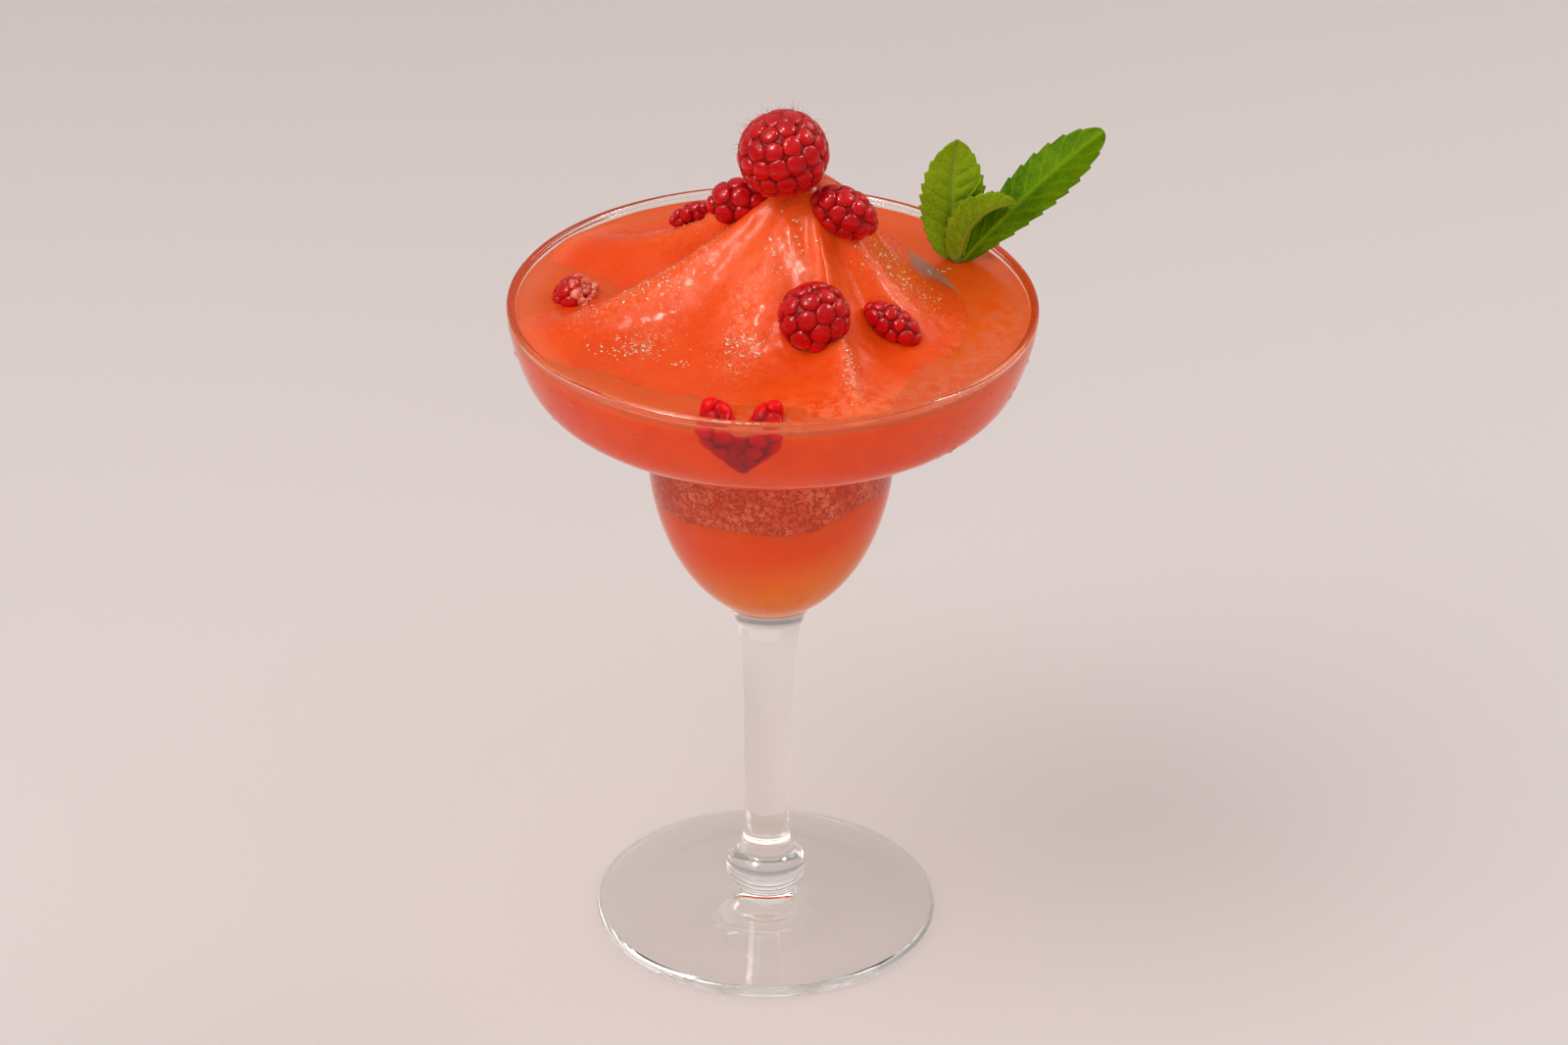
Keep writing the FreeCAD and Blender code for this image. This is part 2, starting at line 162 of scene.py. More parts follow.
@dataclass(frozen=True)
class Effect:
    """A surface effect that several finishes share, kept as one node group."""

    name: str
    numbers: tuple[str, ...]
    results: tuple[str, ...]
    wire: Callable[[Wiring, object, object], None]

    def group(self) -> NodeTree:
        """Return the effect's node group, made at its first use."""
        made = bpy.data.node_groups.get(self.name)
        if made:
            return made
        made = bpy.data.node_groups.new(self.name, "ShaderNodeTree")
        made.interface.new_socket("Vector", in_out="INPUT", socket_type="NodeSocketVector")
        for direction, names in (("INPUT", self.numbers), ("OUTPUT", self.results)):
            for name in names:
                made.interface.new_socket(name, in_out=direction, socket_type="NodeSocketFloat")
        start, end = made.nodes.new("NodeGroupInput"), made.nodes.new("NodeGroupOutput")
        self.wire(Wiring(made), start.outputs, end.inputs)
        return made

    def use(self, w: Wiring, vector: object, *values: float) -> object:
        """Return the outputs of the effect in a material, for a place and its numbers in order."""
        inputs = {"Vector": vector, **dict(zip(self.numbers, values))}
        return w.add("Group", inputs, node_tree=self.group()).outputs


def wire_mottle(w: Wiring, given: object, result: object) -> None:
    """Wire soft uneven patches at two sizes."""
    broad = w.noise(given["Vector"], given["Scale"])
    small = w.noise(given["Vector"], w.times(given["Scale"], 3.7))
    both = w.math("MULTIPLY_ADD", small, 0.35, w.times(broad, 0.65))
    w.link(w.ramp(both, given["Low"], given["High"]), result["Mask"])


def wire_bubbles(w: Wiring, given: object, result: object) -> None:
    """Wire packed round bubbles at two sizes: a mask of their rims and their domed height."""
    heights, rims = [], []
    for share in (1.0, 2.3):
        far = w.cells(given["Vector"], w.times(given["Scale"], share))["Distance"]
        heights.append(w.math("POWER", w.ramp(far, 0.0, 0.6, 1.0, 0.0), 0.7))
        rims.append(w.ramp(far, 0.30, 0.55))
    w.link(w.times(*rims), result["Rim"])
    w.link(w.math("MAXIMUM", heights[0], w.times(heights[1], 0.6)), result["Height"])


def wire_specks(w: Wiring, given: object, result: object) -> None:
    """Wire scattered grains: a share of the cells hold one."""
    cell = w.cells(given["Vector"], given["Scale"])
    chosen = w.math("LESS_THAN", w.split(cell["Color"])[0], given["Share"])
    inside = w.math("LESS_THAN", cell["Distance"], given["Size"])
    w.link(w.times(chosen, inside), result["Mask"])


MOTTLE = Effect("soft mottle", ("Scale", "Low", "High"), ("Mask",), wire_mottle)
BUBBLES = Effect("packed bubbles", ("Scale",), ("Rim", "Height"), wire_bubbles)
SPECKS = Effect("ice specks", ("Scale", "Share", "Size"), ("Mask",), wire_specks)


# ------------------------------------------------------------------------ the finishes
class Surface(Wiring):
    """Wires one material: a Principled BSDF, and the place that its patterns are read at."""

    def __init__(self, name: str) -> None:
        """Start a material of a name."""
        self.made = bpy.data.materials.new(name)
        self.made.use_nodes = True
        self.made.node_tree.nodes.clear()
        super().__init__(self.made.node_tree)
        self.shader = self.add("BsdfPrincipled")
        self.add("OutputMaterial", {"Surface": self.shader.outputs[0]})
        self.place = self.add("TexCoord").outputs["Object"]
        self.x, self.y, self.z = self.split(self.place)

    def mottle(self, scale: float, low: float, high: float) -> object:
        """Return a mask of soft uneven patches."""
        return MOTTLE.use(self, self.place, scale, low, high)["Mask"]

    def specks(self, scale: float, share: float, size: float) -> object:
        """Return a mask of scattered grains."""
        return SPECKS.use(self, self.place, scale, share, size)["Mask"]

    def bubbles(self, scale: float) -> object:
        """Return the rims and the heights of packed bubbles."""
        return BUBBLES.use(self, self.place, scale)

    def grain(self, per_metre: float, detail: float, roughness: float = 0.5) -> object:
        """Return a noise value at the place."""
        return self.noise(self.place, per_metre, detail, roughness)

    def lay(self, colour: object, rough: object, normal: object = None) -> None:
        """Give the shader its colour, roughness and normal."""
        self.link(colour, self.shader.inputs["Base Color"])
        self.link(rough, self.shader.inputs["Roughness"])
        if normal is not None:
            self.link(normal, self.shader.inputs["Normal"])

    def plain(self, **numbers: object) -> None:
        """Set the shader's own sockets to uniform values, named with underscores for spaces."""
        for name, number in numbers.items():
            self.shader.inputs[name.replace("_", " ")].default_value = number

    def body(self, weight: float, radius: Colour, scale_mm: float, specular: float = 0.5) -> None:
        """Give the shader the depth of a translucent body, and its plain surface's share of reflection."""
        self.plain(Subsurface_Weight=weight, Subsurface_Radius=radius, Subsurface_Scale=scale_mm * MM)
        self.plain(Specular_IOR_Level=specular)

    def wet(self, weight: object, roughness: float) -> None:
        """Give the shader a clear wet coat."""
        self.link(weight, self.shader.inputs["Coat Weight"])
        self.plain(Coat_Roughness=roughness, Coat_IOR=1.33)


class Finish:
    """What every finish shares: a material that is made at its first use."""

    name = "finish"

    def material(self) -> Material:
        """Return the finish's material."""
        made = bpy.data.materials.get(self.name)
        if not made:
            surface = Surface(self.name)
            self.paint(surface)
            made = surface.made
        return made


@dataclass(frozen=True)
class ClearGlass(Finish):
    """Pressed clear glass with the faintest waviness. It throws no shadow of its own."""

    name: str = "clear pressed glass"
    tint: Colour = (0.955, 0.945, 0.925)
    passed: Colour = (0.93, 0.93, 0.925)
    ior: float = 1.45
    wave_per_metre: float = 70.0

    def paint(self, w: Surface) -> None:
        """Wire the shader."""
        wave = w.grain(self.wave_per_metre, 1.0)
        smear = w.grain(self.wave_per_metre * 0.4, 2.0)
        w.lay(self.tint, w.ramp(smear, 0.35, 0.8, 0.0, 0.03), w.bump(wave, 0.03, 0.2))
        self.pass_light(w)

    def pass_light(self, w: Surface) -> None:
        """Make the body clear, and let light through it for shadows, tinted by what it passes."""
        w.plain(IOR=self.ior, Transmission_Weight=1.0)
        seen = w.shader.outputs[0]
        surface = seen.links[0].to_socket
        clear = w.add("BsdfTransparent", {"Color": self.passed})
        path = w.add("LightPath").outputs
        passing = w.math("MAXIMUM", path["Is Shadow Ray"], path["Is Diffuse Ray"])
        mix = w.add("MixShader", {0: passing, 1: seen, 2: clear.outputs[0]})
        w.link(mix.outputs[0], surface)


@dataclass(frozen=True)
class WaterDrop(ClearGlass):
    """Condensed water on the outside of the glass."""

    name: str = "condensed water"
    tint: Colour = (0.98, 0.97, 0.96)
    passed: Colour = (0.97, 0.97, 0.97)
    ior: float = 1.33
    wave_per_metre: float = 900.0

    def paint(self, w: Surface) -> None:
        """Wire the shader."""
        ripple = w.grain(self.wave_per_metre, 1.0)
        w.lay(self.tint, w.ramp(ripple, 0.0, 1.0, 0.0, 0.02), w.bump(ripple, 0.05, 0.05))
        self.pass_light(w)


def froth_share(w: Surface) -> object:
    """Return how frothy the drink's surface is, in a ring at the glass and a mottled band in front."""
    rim_mm, band_share, ring_share = 54.6, 0.95, 0.60
    radius = w.math("POWER", w.math("ADD", w.times(w.x, w.x), w.times(w.y, w.y)), 0.5)
    ring = w.ramp(radius, (rim_mm - 6.5) * MM, (rim_mm - 1.0) * MM)
    broad = w.ramp(radius, (rim_mm - 19.0) * MM, (rim_mm - 5.0) * MM)
    front_right = w.ramp(w.math("SUBTRACT", w.x, w.times(w.y, 1.1)), 0.022, 0.058)
    fine = w.mottle(420.0, 0.36, 0.62)
    band = w.times(broad, front_right, w.ramp(fine, 0.1, 0.9))
    return w.math("MAXIMUM", w.times(band, band_share), w.times(ring, ring_share))


@dataclass(frozen=True)
class FrozenSlush(Finish):
    """Fine frozen slush: soft orange, wet, with pale ice grains and painted glints where it stands up,
    painted lighter higher up as light on the heap's top.
    """

    name: str = "frozen orange slush"
    lit: Colour = (0.90, 0.132, 0.014)
    deep: Colour = (0.80, 0.078, 0.003)
    icy: Colour = (0.97, 0.28, 0.13)
    glint: Colour = (1.0, 0.62, 0.45)
    # the heights over which the slush is painted lighter, as light falling on its top
    lit_by_height: Pair = (LEVEL - 1, LEVEL + 12)

    def paint(self, w: Surface) -> None:
        """Wire the shader."""
        crest = w.attribute("crest")
        mottle = w.mottle(95.0, 0.30, 0.72)
        fine = w.mottle(900.0, 0.35, 0.68)
        grains = w.specks(1900.0, 0.34, 0.33)
        # painted light: higher up the colour goes from the deep shade to the lit one, on top of the random
        # mottle
        lit_by_height = w.ramp(w.z, *(height * MM for height in self.lit_by_height))
        share = w.math("MULTIPLY_ADD", mottle, 0.55, w.times(lit_by_height, 0.45), clamp=True)
        colour = w.blend(share, self.deep, self.lit)
        frosted = w.math("MULTIPLY", crest, w.ramp(fine, 0.15, 0.9), clamp=True)
        colour = w.blend(w.times(frosted, 0.34), colour, self.icy)
        colour = w.blend(w.times(froth_share(w), 0.55), colour, self.icy)
        # painted glints on the ice specks along the crests
        sparkle = w.math("MULTIPLY", grains, w.times(crest, w.ramp(fine, 0.3, 0.7)), clamp=True)
        colour = w.blend(w.times(sparkle, 0.8), colour, self.glint)
        rough = w.math("ADD", w.math("MULTIPLY_ADD", fine, 0.22, 0.20), w.times(crest, 0.12))
        soft = w.bump(w.grain(330.0, 4.0), 0.30, 0.5)
        grain = w.math("ADD", w.grain(1500.0, 2.0, 0.7), w.times(grains, 0.7))
        relief = w.times(grain, w.math("MULTIPLY_ADD", crest, 0.75, 0.25))
        w.lay(colour, rough, w.bump(relief, 0.5, 0.18, soft))
        w.body(0.45, (1.0, 0.30, 0.10), 2.6, 0.3)
        w.wet(w.ramp(w.times(crest, fine), 0.05, 0.5, 0.12, 0.8), 0.06)
        w.plain(IOR=1.34)


@dataclass(frozen=True)
class SlushAtWall(Finish):
    """The slush against the glass: even, deep orange, a little paler at its top, and paler low down as
    painted reflection of the curving glass.
    """

    name: str = "orange slush at the wall"
    even: Colour = (0.97, 0.098, 0.002)
    deep: Colour = (0.88, 0.068, 0.001)
    pale: Colour = (0.97, 0.22, 0.050)
    low_reflection_fade: Pair = (0.1270, 0.1345)
    top_fade: Pair = (0.1485, 0.1510)

    def paint(self, w: Surface) -> None:
        """Wire the shader."""
        mottle = w.mottle(55.0, 0.30, 0.72)
        fine = w.mottle(700.0, 0.35, 0.68)
        # paler low down: painted reflection of the curving glass
        low, top = w.ramp(w.z, *self.low_reflection_fade, 0.30, 0.0), w.ramp(w.z, *self.top_fade, 0.0, 0.30)
        colour = w.blend(w.times(fine, 0.08), w.blend(mottle, self.deep, self.even), self.pale)
        colour = w.blend(w.math("MAXIMUM", low, top), colour, self.pale)
        w.lay(colour, w.ramp(mottle, 0.0, 1.0, 0.4, 0.6), w.bump(fine, 0.1, 0.1))
        w.body(0.3, (1.0, 0.30, 0.10), 2.6, 0.08)


@dataclass(frozen=True)
class ThinPool(Finish):
    """The thinned drink round the slush: clear orange, glossy, frothy where it meets the glass, with a
    painted grey reflection in a sliver near the mint.
    """

    name: str = "thinned orange drink"
    clear: Colour = (0.74, 0.072, 0.0015)
    cloudy: Colour = (0.85, 0.112, 0.008)
    froth: Colour = (0.84, 0.20, 0.10)
    slush: Colour = (0.86, 0.112, 0.010)
    # painted reflection: the grey of the backdrop mirrored on the wet surface, in a sliver near the mint
    grey_reflection: Colour = (0.36, 0.215, 0.150)
    grey_reflection_middle: Pair = (0.0320, 0.0204)
    grey_reflection_along: Pair = (0.49, -0.87)
    grey_reflection_half: Pair = (0.0165, 0.0036)

    def paint(self, w: Surface) -> None:
        """Wire the shader."""
        mottle = w.mottle(75.0, 0.34, 0.64)
        slushy = w.attribute("slushy")
        colour = w.blend(slushy, w.blend(mottle, self.clear, self.cloudy), self.slush)
        share = w.times(froth_share(w), w.math("SUBTRACT", 1.0, w.times(slushy, 0.4)))
        colour = w.blend(share, colour, self.froth)
        # painted reflection of the backdrop, grey, in a sliver beside the slush
        colour = w.blend(self.grey_reflection_share(w), colour, self.grey_reflection)
        ripple = w.bump(w.grain(120.0, 2.0), 0.25, 0.5)
        foam = w.times(w.bubbles(900.0)["Height"], share)
        w.lay(colour, w.ramp(share, 0.1, 0.9, 0.06, 0.30), w.bump(foam, 0.45, 0.2, ripple))
        w.body(0.5, (1.0, 0.34, 0.10), 3.5, 0.25)
        w.wet(0.2, 0.03)
        w.plain(IOR=1.34)

    def grey_reflection_share(self, w: Surface) -> object:
        """Return where the painted grey reflection lies, a sliver beside the slush near the mint."""
        (along_x, along_y), (half_long, half_wide) = self.grey_reflection_along, self.grey_reflection_half
        x_off = w.math("SUBTRACT", w.x, self.grey_reflection_middle[0])
        y_off = w.math("SUBTRACT", w.y, self.grey_reflection_middle[1])
        along = w.math("ADD", w.times(x_off, along_x), w.times(y_off, along_y))
        across = w.math("SUBTRACT", w.times(x_off, along_y), w.times(y_off, along_x))
        long, wide = (
            w.times(w.math("DIVIDE", distance, half), w.math("DIVIDE", distance, half))
            for distance, half in ((along, half_long), (across, half_wide))
        )
        return w.ramp(w.math("ADD", long, wide), 0.45, 1.1, 0.85, 0.0)


@dataclass(frozen=True)
class PinkFroth(Finish):
    """Froth under the slush, packed bubbles seen through the cup's wall."""

    name: str = "packed pink froth"
    pale: Colour = (0.97, 0.240, 0.110)
    between: Colour = (0.58, 0.050, 0.008)
    dark: Colour = (0.80, 0.085, 0.014)

    def paint(self, w: Surface) -> None:
        """Wire the shader."""
        coarse, small = w.bubbles(620.0), w.bubbles(1500.0)
        mottle = w.mottle(130.0, 0.35, 0.65)
        rims = w.math("MAXIMUM", w.times(coarse["Rim"], 0.9), w.times(small["Rim"], 0.45))
        colour = w.blend(rims, w.blend(mottle, self.dark, self.pale), self.between)
        height = w.math("ADD", coarse["Height"], w.times(small["Height"], 0.4))
        w.lay(colour, w.ramp(rims, 0.0, 1.0, 0.22, 0.45), w.bump(height, 0.6, 0.35))
        w.body(0.3, (1.0, 0.30, 0.12), 1.5, 0.12)


@dataclass(frozen=True)
class AmberDrink(Finish):
    """Amber drink in the lower cup, painted lighter and yellower towards its floor and its right side, as
    light passing through it.
    """

    name: str = "amber drink"
    top: Colour = (0.90, 0.082, 0.0005)
    low: Colour = (1.0, 0.250, 0.001)
    haze: Colour = (0.95, 0.145, 0.001)
    seed: Colour = (0.95, 0.36, 0.12)
    fade: Pair = (0.086, 0.106)

    def paint(self, w: Surface) -> None:
        """Wire the shader."""
        mottle = w.mottle(60.0, 0.38, 0.66)
        seeds = w.specks(330.0, 0.12, 0.10)
        # painted light: lighter and yellower low down and to the right, as light passing through the drink
        low = w.ramp(w.math("ADD", w.z, w.times(w.x, -0.25)), *self.fade, 1.0, 0.0)
        colour = w.blend(w.times(mottle, 0.4), w.blend(low, self.top, self.low), self.haze)
        colour = w.blend(w.times(seeds, 0.5), colour, self.seed)
        wave = w.bump(w.grain(90.0, 2.0), 0.2, 0.4)
        w.lay(colour, w.ramp(mottle, 0.0, 1.0, 0.08, 0.2), wave)
        w.body(0.5, (1.0, 0.40, 0.08), 5.0, 0.08)


@dataclass(frozen=True)
class RaspberrySkin(Finish):
    """Juicy red drupelets, darker in the crevices between them: painted shade."""

    name: str = "raspberry skin"
    bright: Colour = (0.66, 0.004, 0.006)
    ripe: Colour = (0.50, 0.001, 0.004)
    # painted shade in the crevices between the drupelets
    crevice_shade: Colour = (0.40, 0.001, 0.003)
    bloom: Colour = (0.80, 0.040, 0.045)
    coat: float = 0.8

    def paint(self, w: Surface) -> None:
        """Wire the shader."""
        patch = w.mottle(130.0, 0.35, 0.65)
        fine = w.mottle(1400.0, 0.30, 0.75)
        skin = w.blend(w.times(fine, 0.12), w.blend(patch, self.ripe, self.bright), self.bloom)
        # painted shade: darker where a point lies deep between the drupelets
        skin = w.blend(w.attribute("crevice_shade"), skin, self.crevice_shade)
        pores = w.bump(w.grain(2300.0, 3.0), 0.2, 0.06)
        w.lay(skin, w.ramp(fine, 0.0, 1.0, 0.26, 0.42), pores)
        w.body(0.6, (1.0, 0.06, 0.04), 2.4, 0.12)
        w.wet(self.coat, 0.04)


@dataclass(frozen=True)
class PaleFlesh(Finish):
    """The pale inside of a torn raspberry."""

    name: str = "torn raspberry flesh"
    flesh: Colour = (0.83, 0.30, 0.20)
    juice: Colour = (0.66, 0.035, 0.035)
    fibre: Colour = (0.90, 0.55, 0.38)

    def paint(self, w: Surface) -> None:
        """Wire the shader."""
        patch = w.mottle(420.0, 0.36, 0.62)
        threads = w.specks(900.0, 0.4, 0.32)
        colour = w.blend(w.times(threads, 0.6), w.blend(patch, self.juice, self.flesh), self.fibre)
        lumps = w.bump(w.grain(1700.0, 3.0), 0.5, 0.2)
        w.lay(colour, w.ramp(patch, 0.0, 1.0, 0.2, 0.42), lumps)
        w.body(0.5, (1.0, 0.3, 0.2), 1.2)


@dataclass(frozen=True)
class BerryHair(Finish):
    """The fine dry hairs of a raspberry."""

    name: str = "raspberry hair"
    dark: Colour = (0.32, 0.14, 0.07)
    light: Colour = (0.62, 0.36, 0.20)

    def paint(self, w: Surface) -> None:
        """Wire the shader."""
        tone = w.grain(700.0, 2.0)
        w.lay(w.blend(tone, self.dark, self.light), w.ramp(tone, 0.0, 1.0, 0.45, 0.7))


@dataclass(frozen=True)
class WetIce(Finish):
    """Wet pale ice in orange drink."""

    name: str = "wet ice grains"
    dull: Colour = (1.0, 0.32, 0.16)
    bright: Colour = (1.0, 0.58, 0.42)

    def paint(self, w: Surface) -> None:
        """Wire the shader."""
        tone = w.grain(800.0, 2.0)
        w.lay(w.blend(tone, self.dull, self.bright), w.ramp(tone, 0.0, 1.0, 0.05, 0.25))
        w.body(0.6, (1.0, 0.35, 0.15), 0.8)
        w.wet(1.0, 0.04)


@dataclass(frozen=True)
class MintBlade(Finish):
    """A mint leaf's blade: green between its sunken veins, by the leaf's own vein value, and painted lighter
    by the leaf's lit share where it faces the light.
    """

    name: str = "mint blade"
    young_and_lit: Colour = (0.245, 0.430, 0.000)
    ripe: Colour = (0.072, 0.180, 0.000)
    vein: Colour = (0.250, 0.430, 0.006)
    vein_weight: float = 0.55
    sheen: float = 0.46

    def paint(self, w: Surface) -> None:
        """Wire the shader."""
        patch = w.mottle(110.0, 0.34, 0.68)
        net = w.cells(w.place, 900.0, "DISTANCE_TO_EDGE")["Distance"]
        # painted light: leaves that face the light take a lighter green, besides the random patches
        share = w.math("MULTIPLY_ADD", patch, 0.5, w.times(w.attribute("age"), 0.6), clamp=True)
        green = w.blend(share, self.ripe, self.young_and_lit)
        green = w.blend(w.ramp(net, 0.0, 0.16, 0.22, 0.0), green, self.vein)
        green = w.blend(w.times(w.attribute("vein"), self.vein_weight), green, self.vein)
        rough = w.bump(w.ramp(net, 0.0, 0.3), 0.35, 0.12)
        relief = w.bump(w.grain(520.0, 3.0), 0.6, 0.3, rough)
        w.lay(green, w.ramp(patch, 0.0, 1.0, self.sheen, self.sheen + 0.16), relief)
        w.body(0.22, (0.5, 1.0, 0.12), 0.9, 0.08)


# --------------------------------------------------------------------- shared geometry
def clamped(value: float) -> float:
    """Return a value held between 0 and 1."""
    return min(1.0, max(0.0, value))


def smooth_run(points: Profile, first: Pair, last: Pair, steps: int) -> Profile:
    """Return a smooth curve through points, with set directions at its ends.

    Args:
        points: what the curve passes through.
        first: its direction at the first point.
        last: its direction at the last point.
        steps: how many steps each span takes.
    Returns:
        The points along the curve, ends included.
    """
    at = np.array(points, float)
    gaps = np.linalg.norm(np.diff(at, axis=0), axis=1)
    count = len(at)
    system = np.eye(count)
    wanted = np.zeros((count, 2))
    wanted[0] = np.array(first) / np.linalg.norm(first)
    wanted[-1] = np.array(last) / np.linalg.norm(last)
    for i in range(1, count - 1):
        before, after = gaps[i - 1], gaps[i]
        system[i, i - 1 : i + 2] = 1 / before, 2 / before + 2 / after, 1 / after
        wanted[i] = 3 * ((at[i] - at[i - 1]) / before ** 2 + (at[i + 1] - at[i]) / after ** 2)
    slopes = np.linalg.solve(system, wanted)
    run = [tuple(at[0])]
    for i in range(count - 1):
        for step in range(1, steps + 1):
            t = step / steps
            point = (2 * t ** 3 - 3 * t ** 2 + 1) * at[i] + (3 * t ** 2 - 2 * t ** 3) * at[i + 1]
            bend = (t ** 3 - 2 * t ** 2 + t) * slopes[i] + (t ** 3 - t ** 2) * slopes[i + 1]
            run.append(tuple(point + gaps[i] * bend))
    return run


def round_run(centre: Pair, radius: float, first: float, last: float, steps: int) -> Profile:
    """Return points on an arc from one angle to another, in degrees."""
    angles = [radians(first + (last - first) * step / steps) for step in range(steps + 1)]
    return [(centre[0] + radius * cos(angle), centre[1] + radius * sin(angle)) for angle in angles]


def beside(run: Profile, distance: float) -> Profile:
    """Return a run moved to its left by a distance."""
    moved = []
    for i, (x, z) in enumerate(run):
        before, after = run[max(0, i - 1)], run[min(len(run) - 1, i + 1)]
        along = Vector((after[0] - before[0], after[1] - before[1])).normalized()
        moved.append((x - along.y * distance, z + along.x * distance))
    return moved


def joined(*runs: Profile) -> Profile:
    """Return runs end to end, without the points that repeat."""
    whole: Profile = []
    for run in runs:
        for point in run:
            if not whole or dist(point, whole[-1]) > 1e-4:
                whole.append(point)
    return whole


def radius_at(run: Profile, height: float) -> float:
    """Return the radius of a run with rising heights at a height."""
    return float(np.interp(height, [point[1] for point in run], [point[0] for point in run]))


def turned(profile: Profile, spokes: int) -> BMesh:
    """Spin a profile that starts and ends on the Z axis into a closed body.

    Args:
        profile: radius and height pairs.
        spokes: steps round the axis.
    Returns:
        The body as a bmesh, in millimetres.
    """
    bm = bmesh.new()
    verts = [bm.verts.new((radius, 0.0, height)) for radius, height in profile]
    edges = [bm.edges.new(pair) for pair in zip(verts, verts[1:])]
    bmesh.ops.spin(
        bm, geom=verts + edges, axis=UP, cent=(0, 0, 0), angle=tau, steps=spokes, use_merge=True
    )
    bmesh.ops.remove_doubles(bm, verts=bm.verts, dist=1e-4)
    bmesh.ops.recalc_face_normals(bm, faces=bm.faces)
    return bm


def ball(bm: BMesh, radius: float, fineness: int = 3, place: Matrix = Matrix()) -> list:
    """Add a round bead to a bmesh and return its vertices."""
    return bmesh.ops.create_icosphere(bm, subdivisions=fineness, radius=radius, matrix=place)["verts"]


def layer(bm: BMesh, name: str) -> BMLayerItem:
    """Return the layer of a named value at a bmesh's points, made at its first use."""
    return bm.verts.layers.float.get(name) or bm.verts.layers.float.new(name)


def uneven(point: Vector, size_mm: float, seed: float = 0.0) -> float:
    """Return a smooth unevenness from about -1 to 1, whose bumps have a size."""
    return noise.noise(point / size_mm + Vector((seed, seed * 1.7, -seed)))


def placed(name: str, bm: BMesh) -> Object:
    """Return a new object in the scene with a bmesh's shape, which is freed."""
    mesh = bpy.data.meshes.new(name)
    bm.to_mesh(mesh)
    bm.free()
    piece = bpy.data.objects.new(name, mesh)
    bpy.context.scene.collection.objects.link(piece)
    return piece


def finished(
    name: str, bm: BMesh, slot: Slot, *finishes: Finish, nodes: tuple[str, ...] = ()
) -> Object:
    """Make a piece from a bmesh in millimetres and hand it to the frame.

    Args:
        name: the piece's name.
        bm: its shape, which is freed.
        slot: the record's slot for the piece, which is only named in the log.
        finishes: its finishes in the order of its faces' indices.
        nodes: the solids that it stands for.
    Returns:
        The object, at the origin, with its place in its mesh.
    """
    bmesh.ops.scale(bm, vec=(MM, MM, MM), verts=bm.verts)
    for face in bm.faces:
        face.smooth = True
    piece = placed(name, bm)
    for finish in finishes:
        piece.data.materials.append(finish.material())
    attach(piece, "root")
    if nodes:
        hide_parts(*nodes)
    LOG.info("%s: %d faces, slot %s", name, len(piece.data.polygons), slot.value)
    return piece


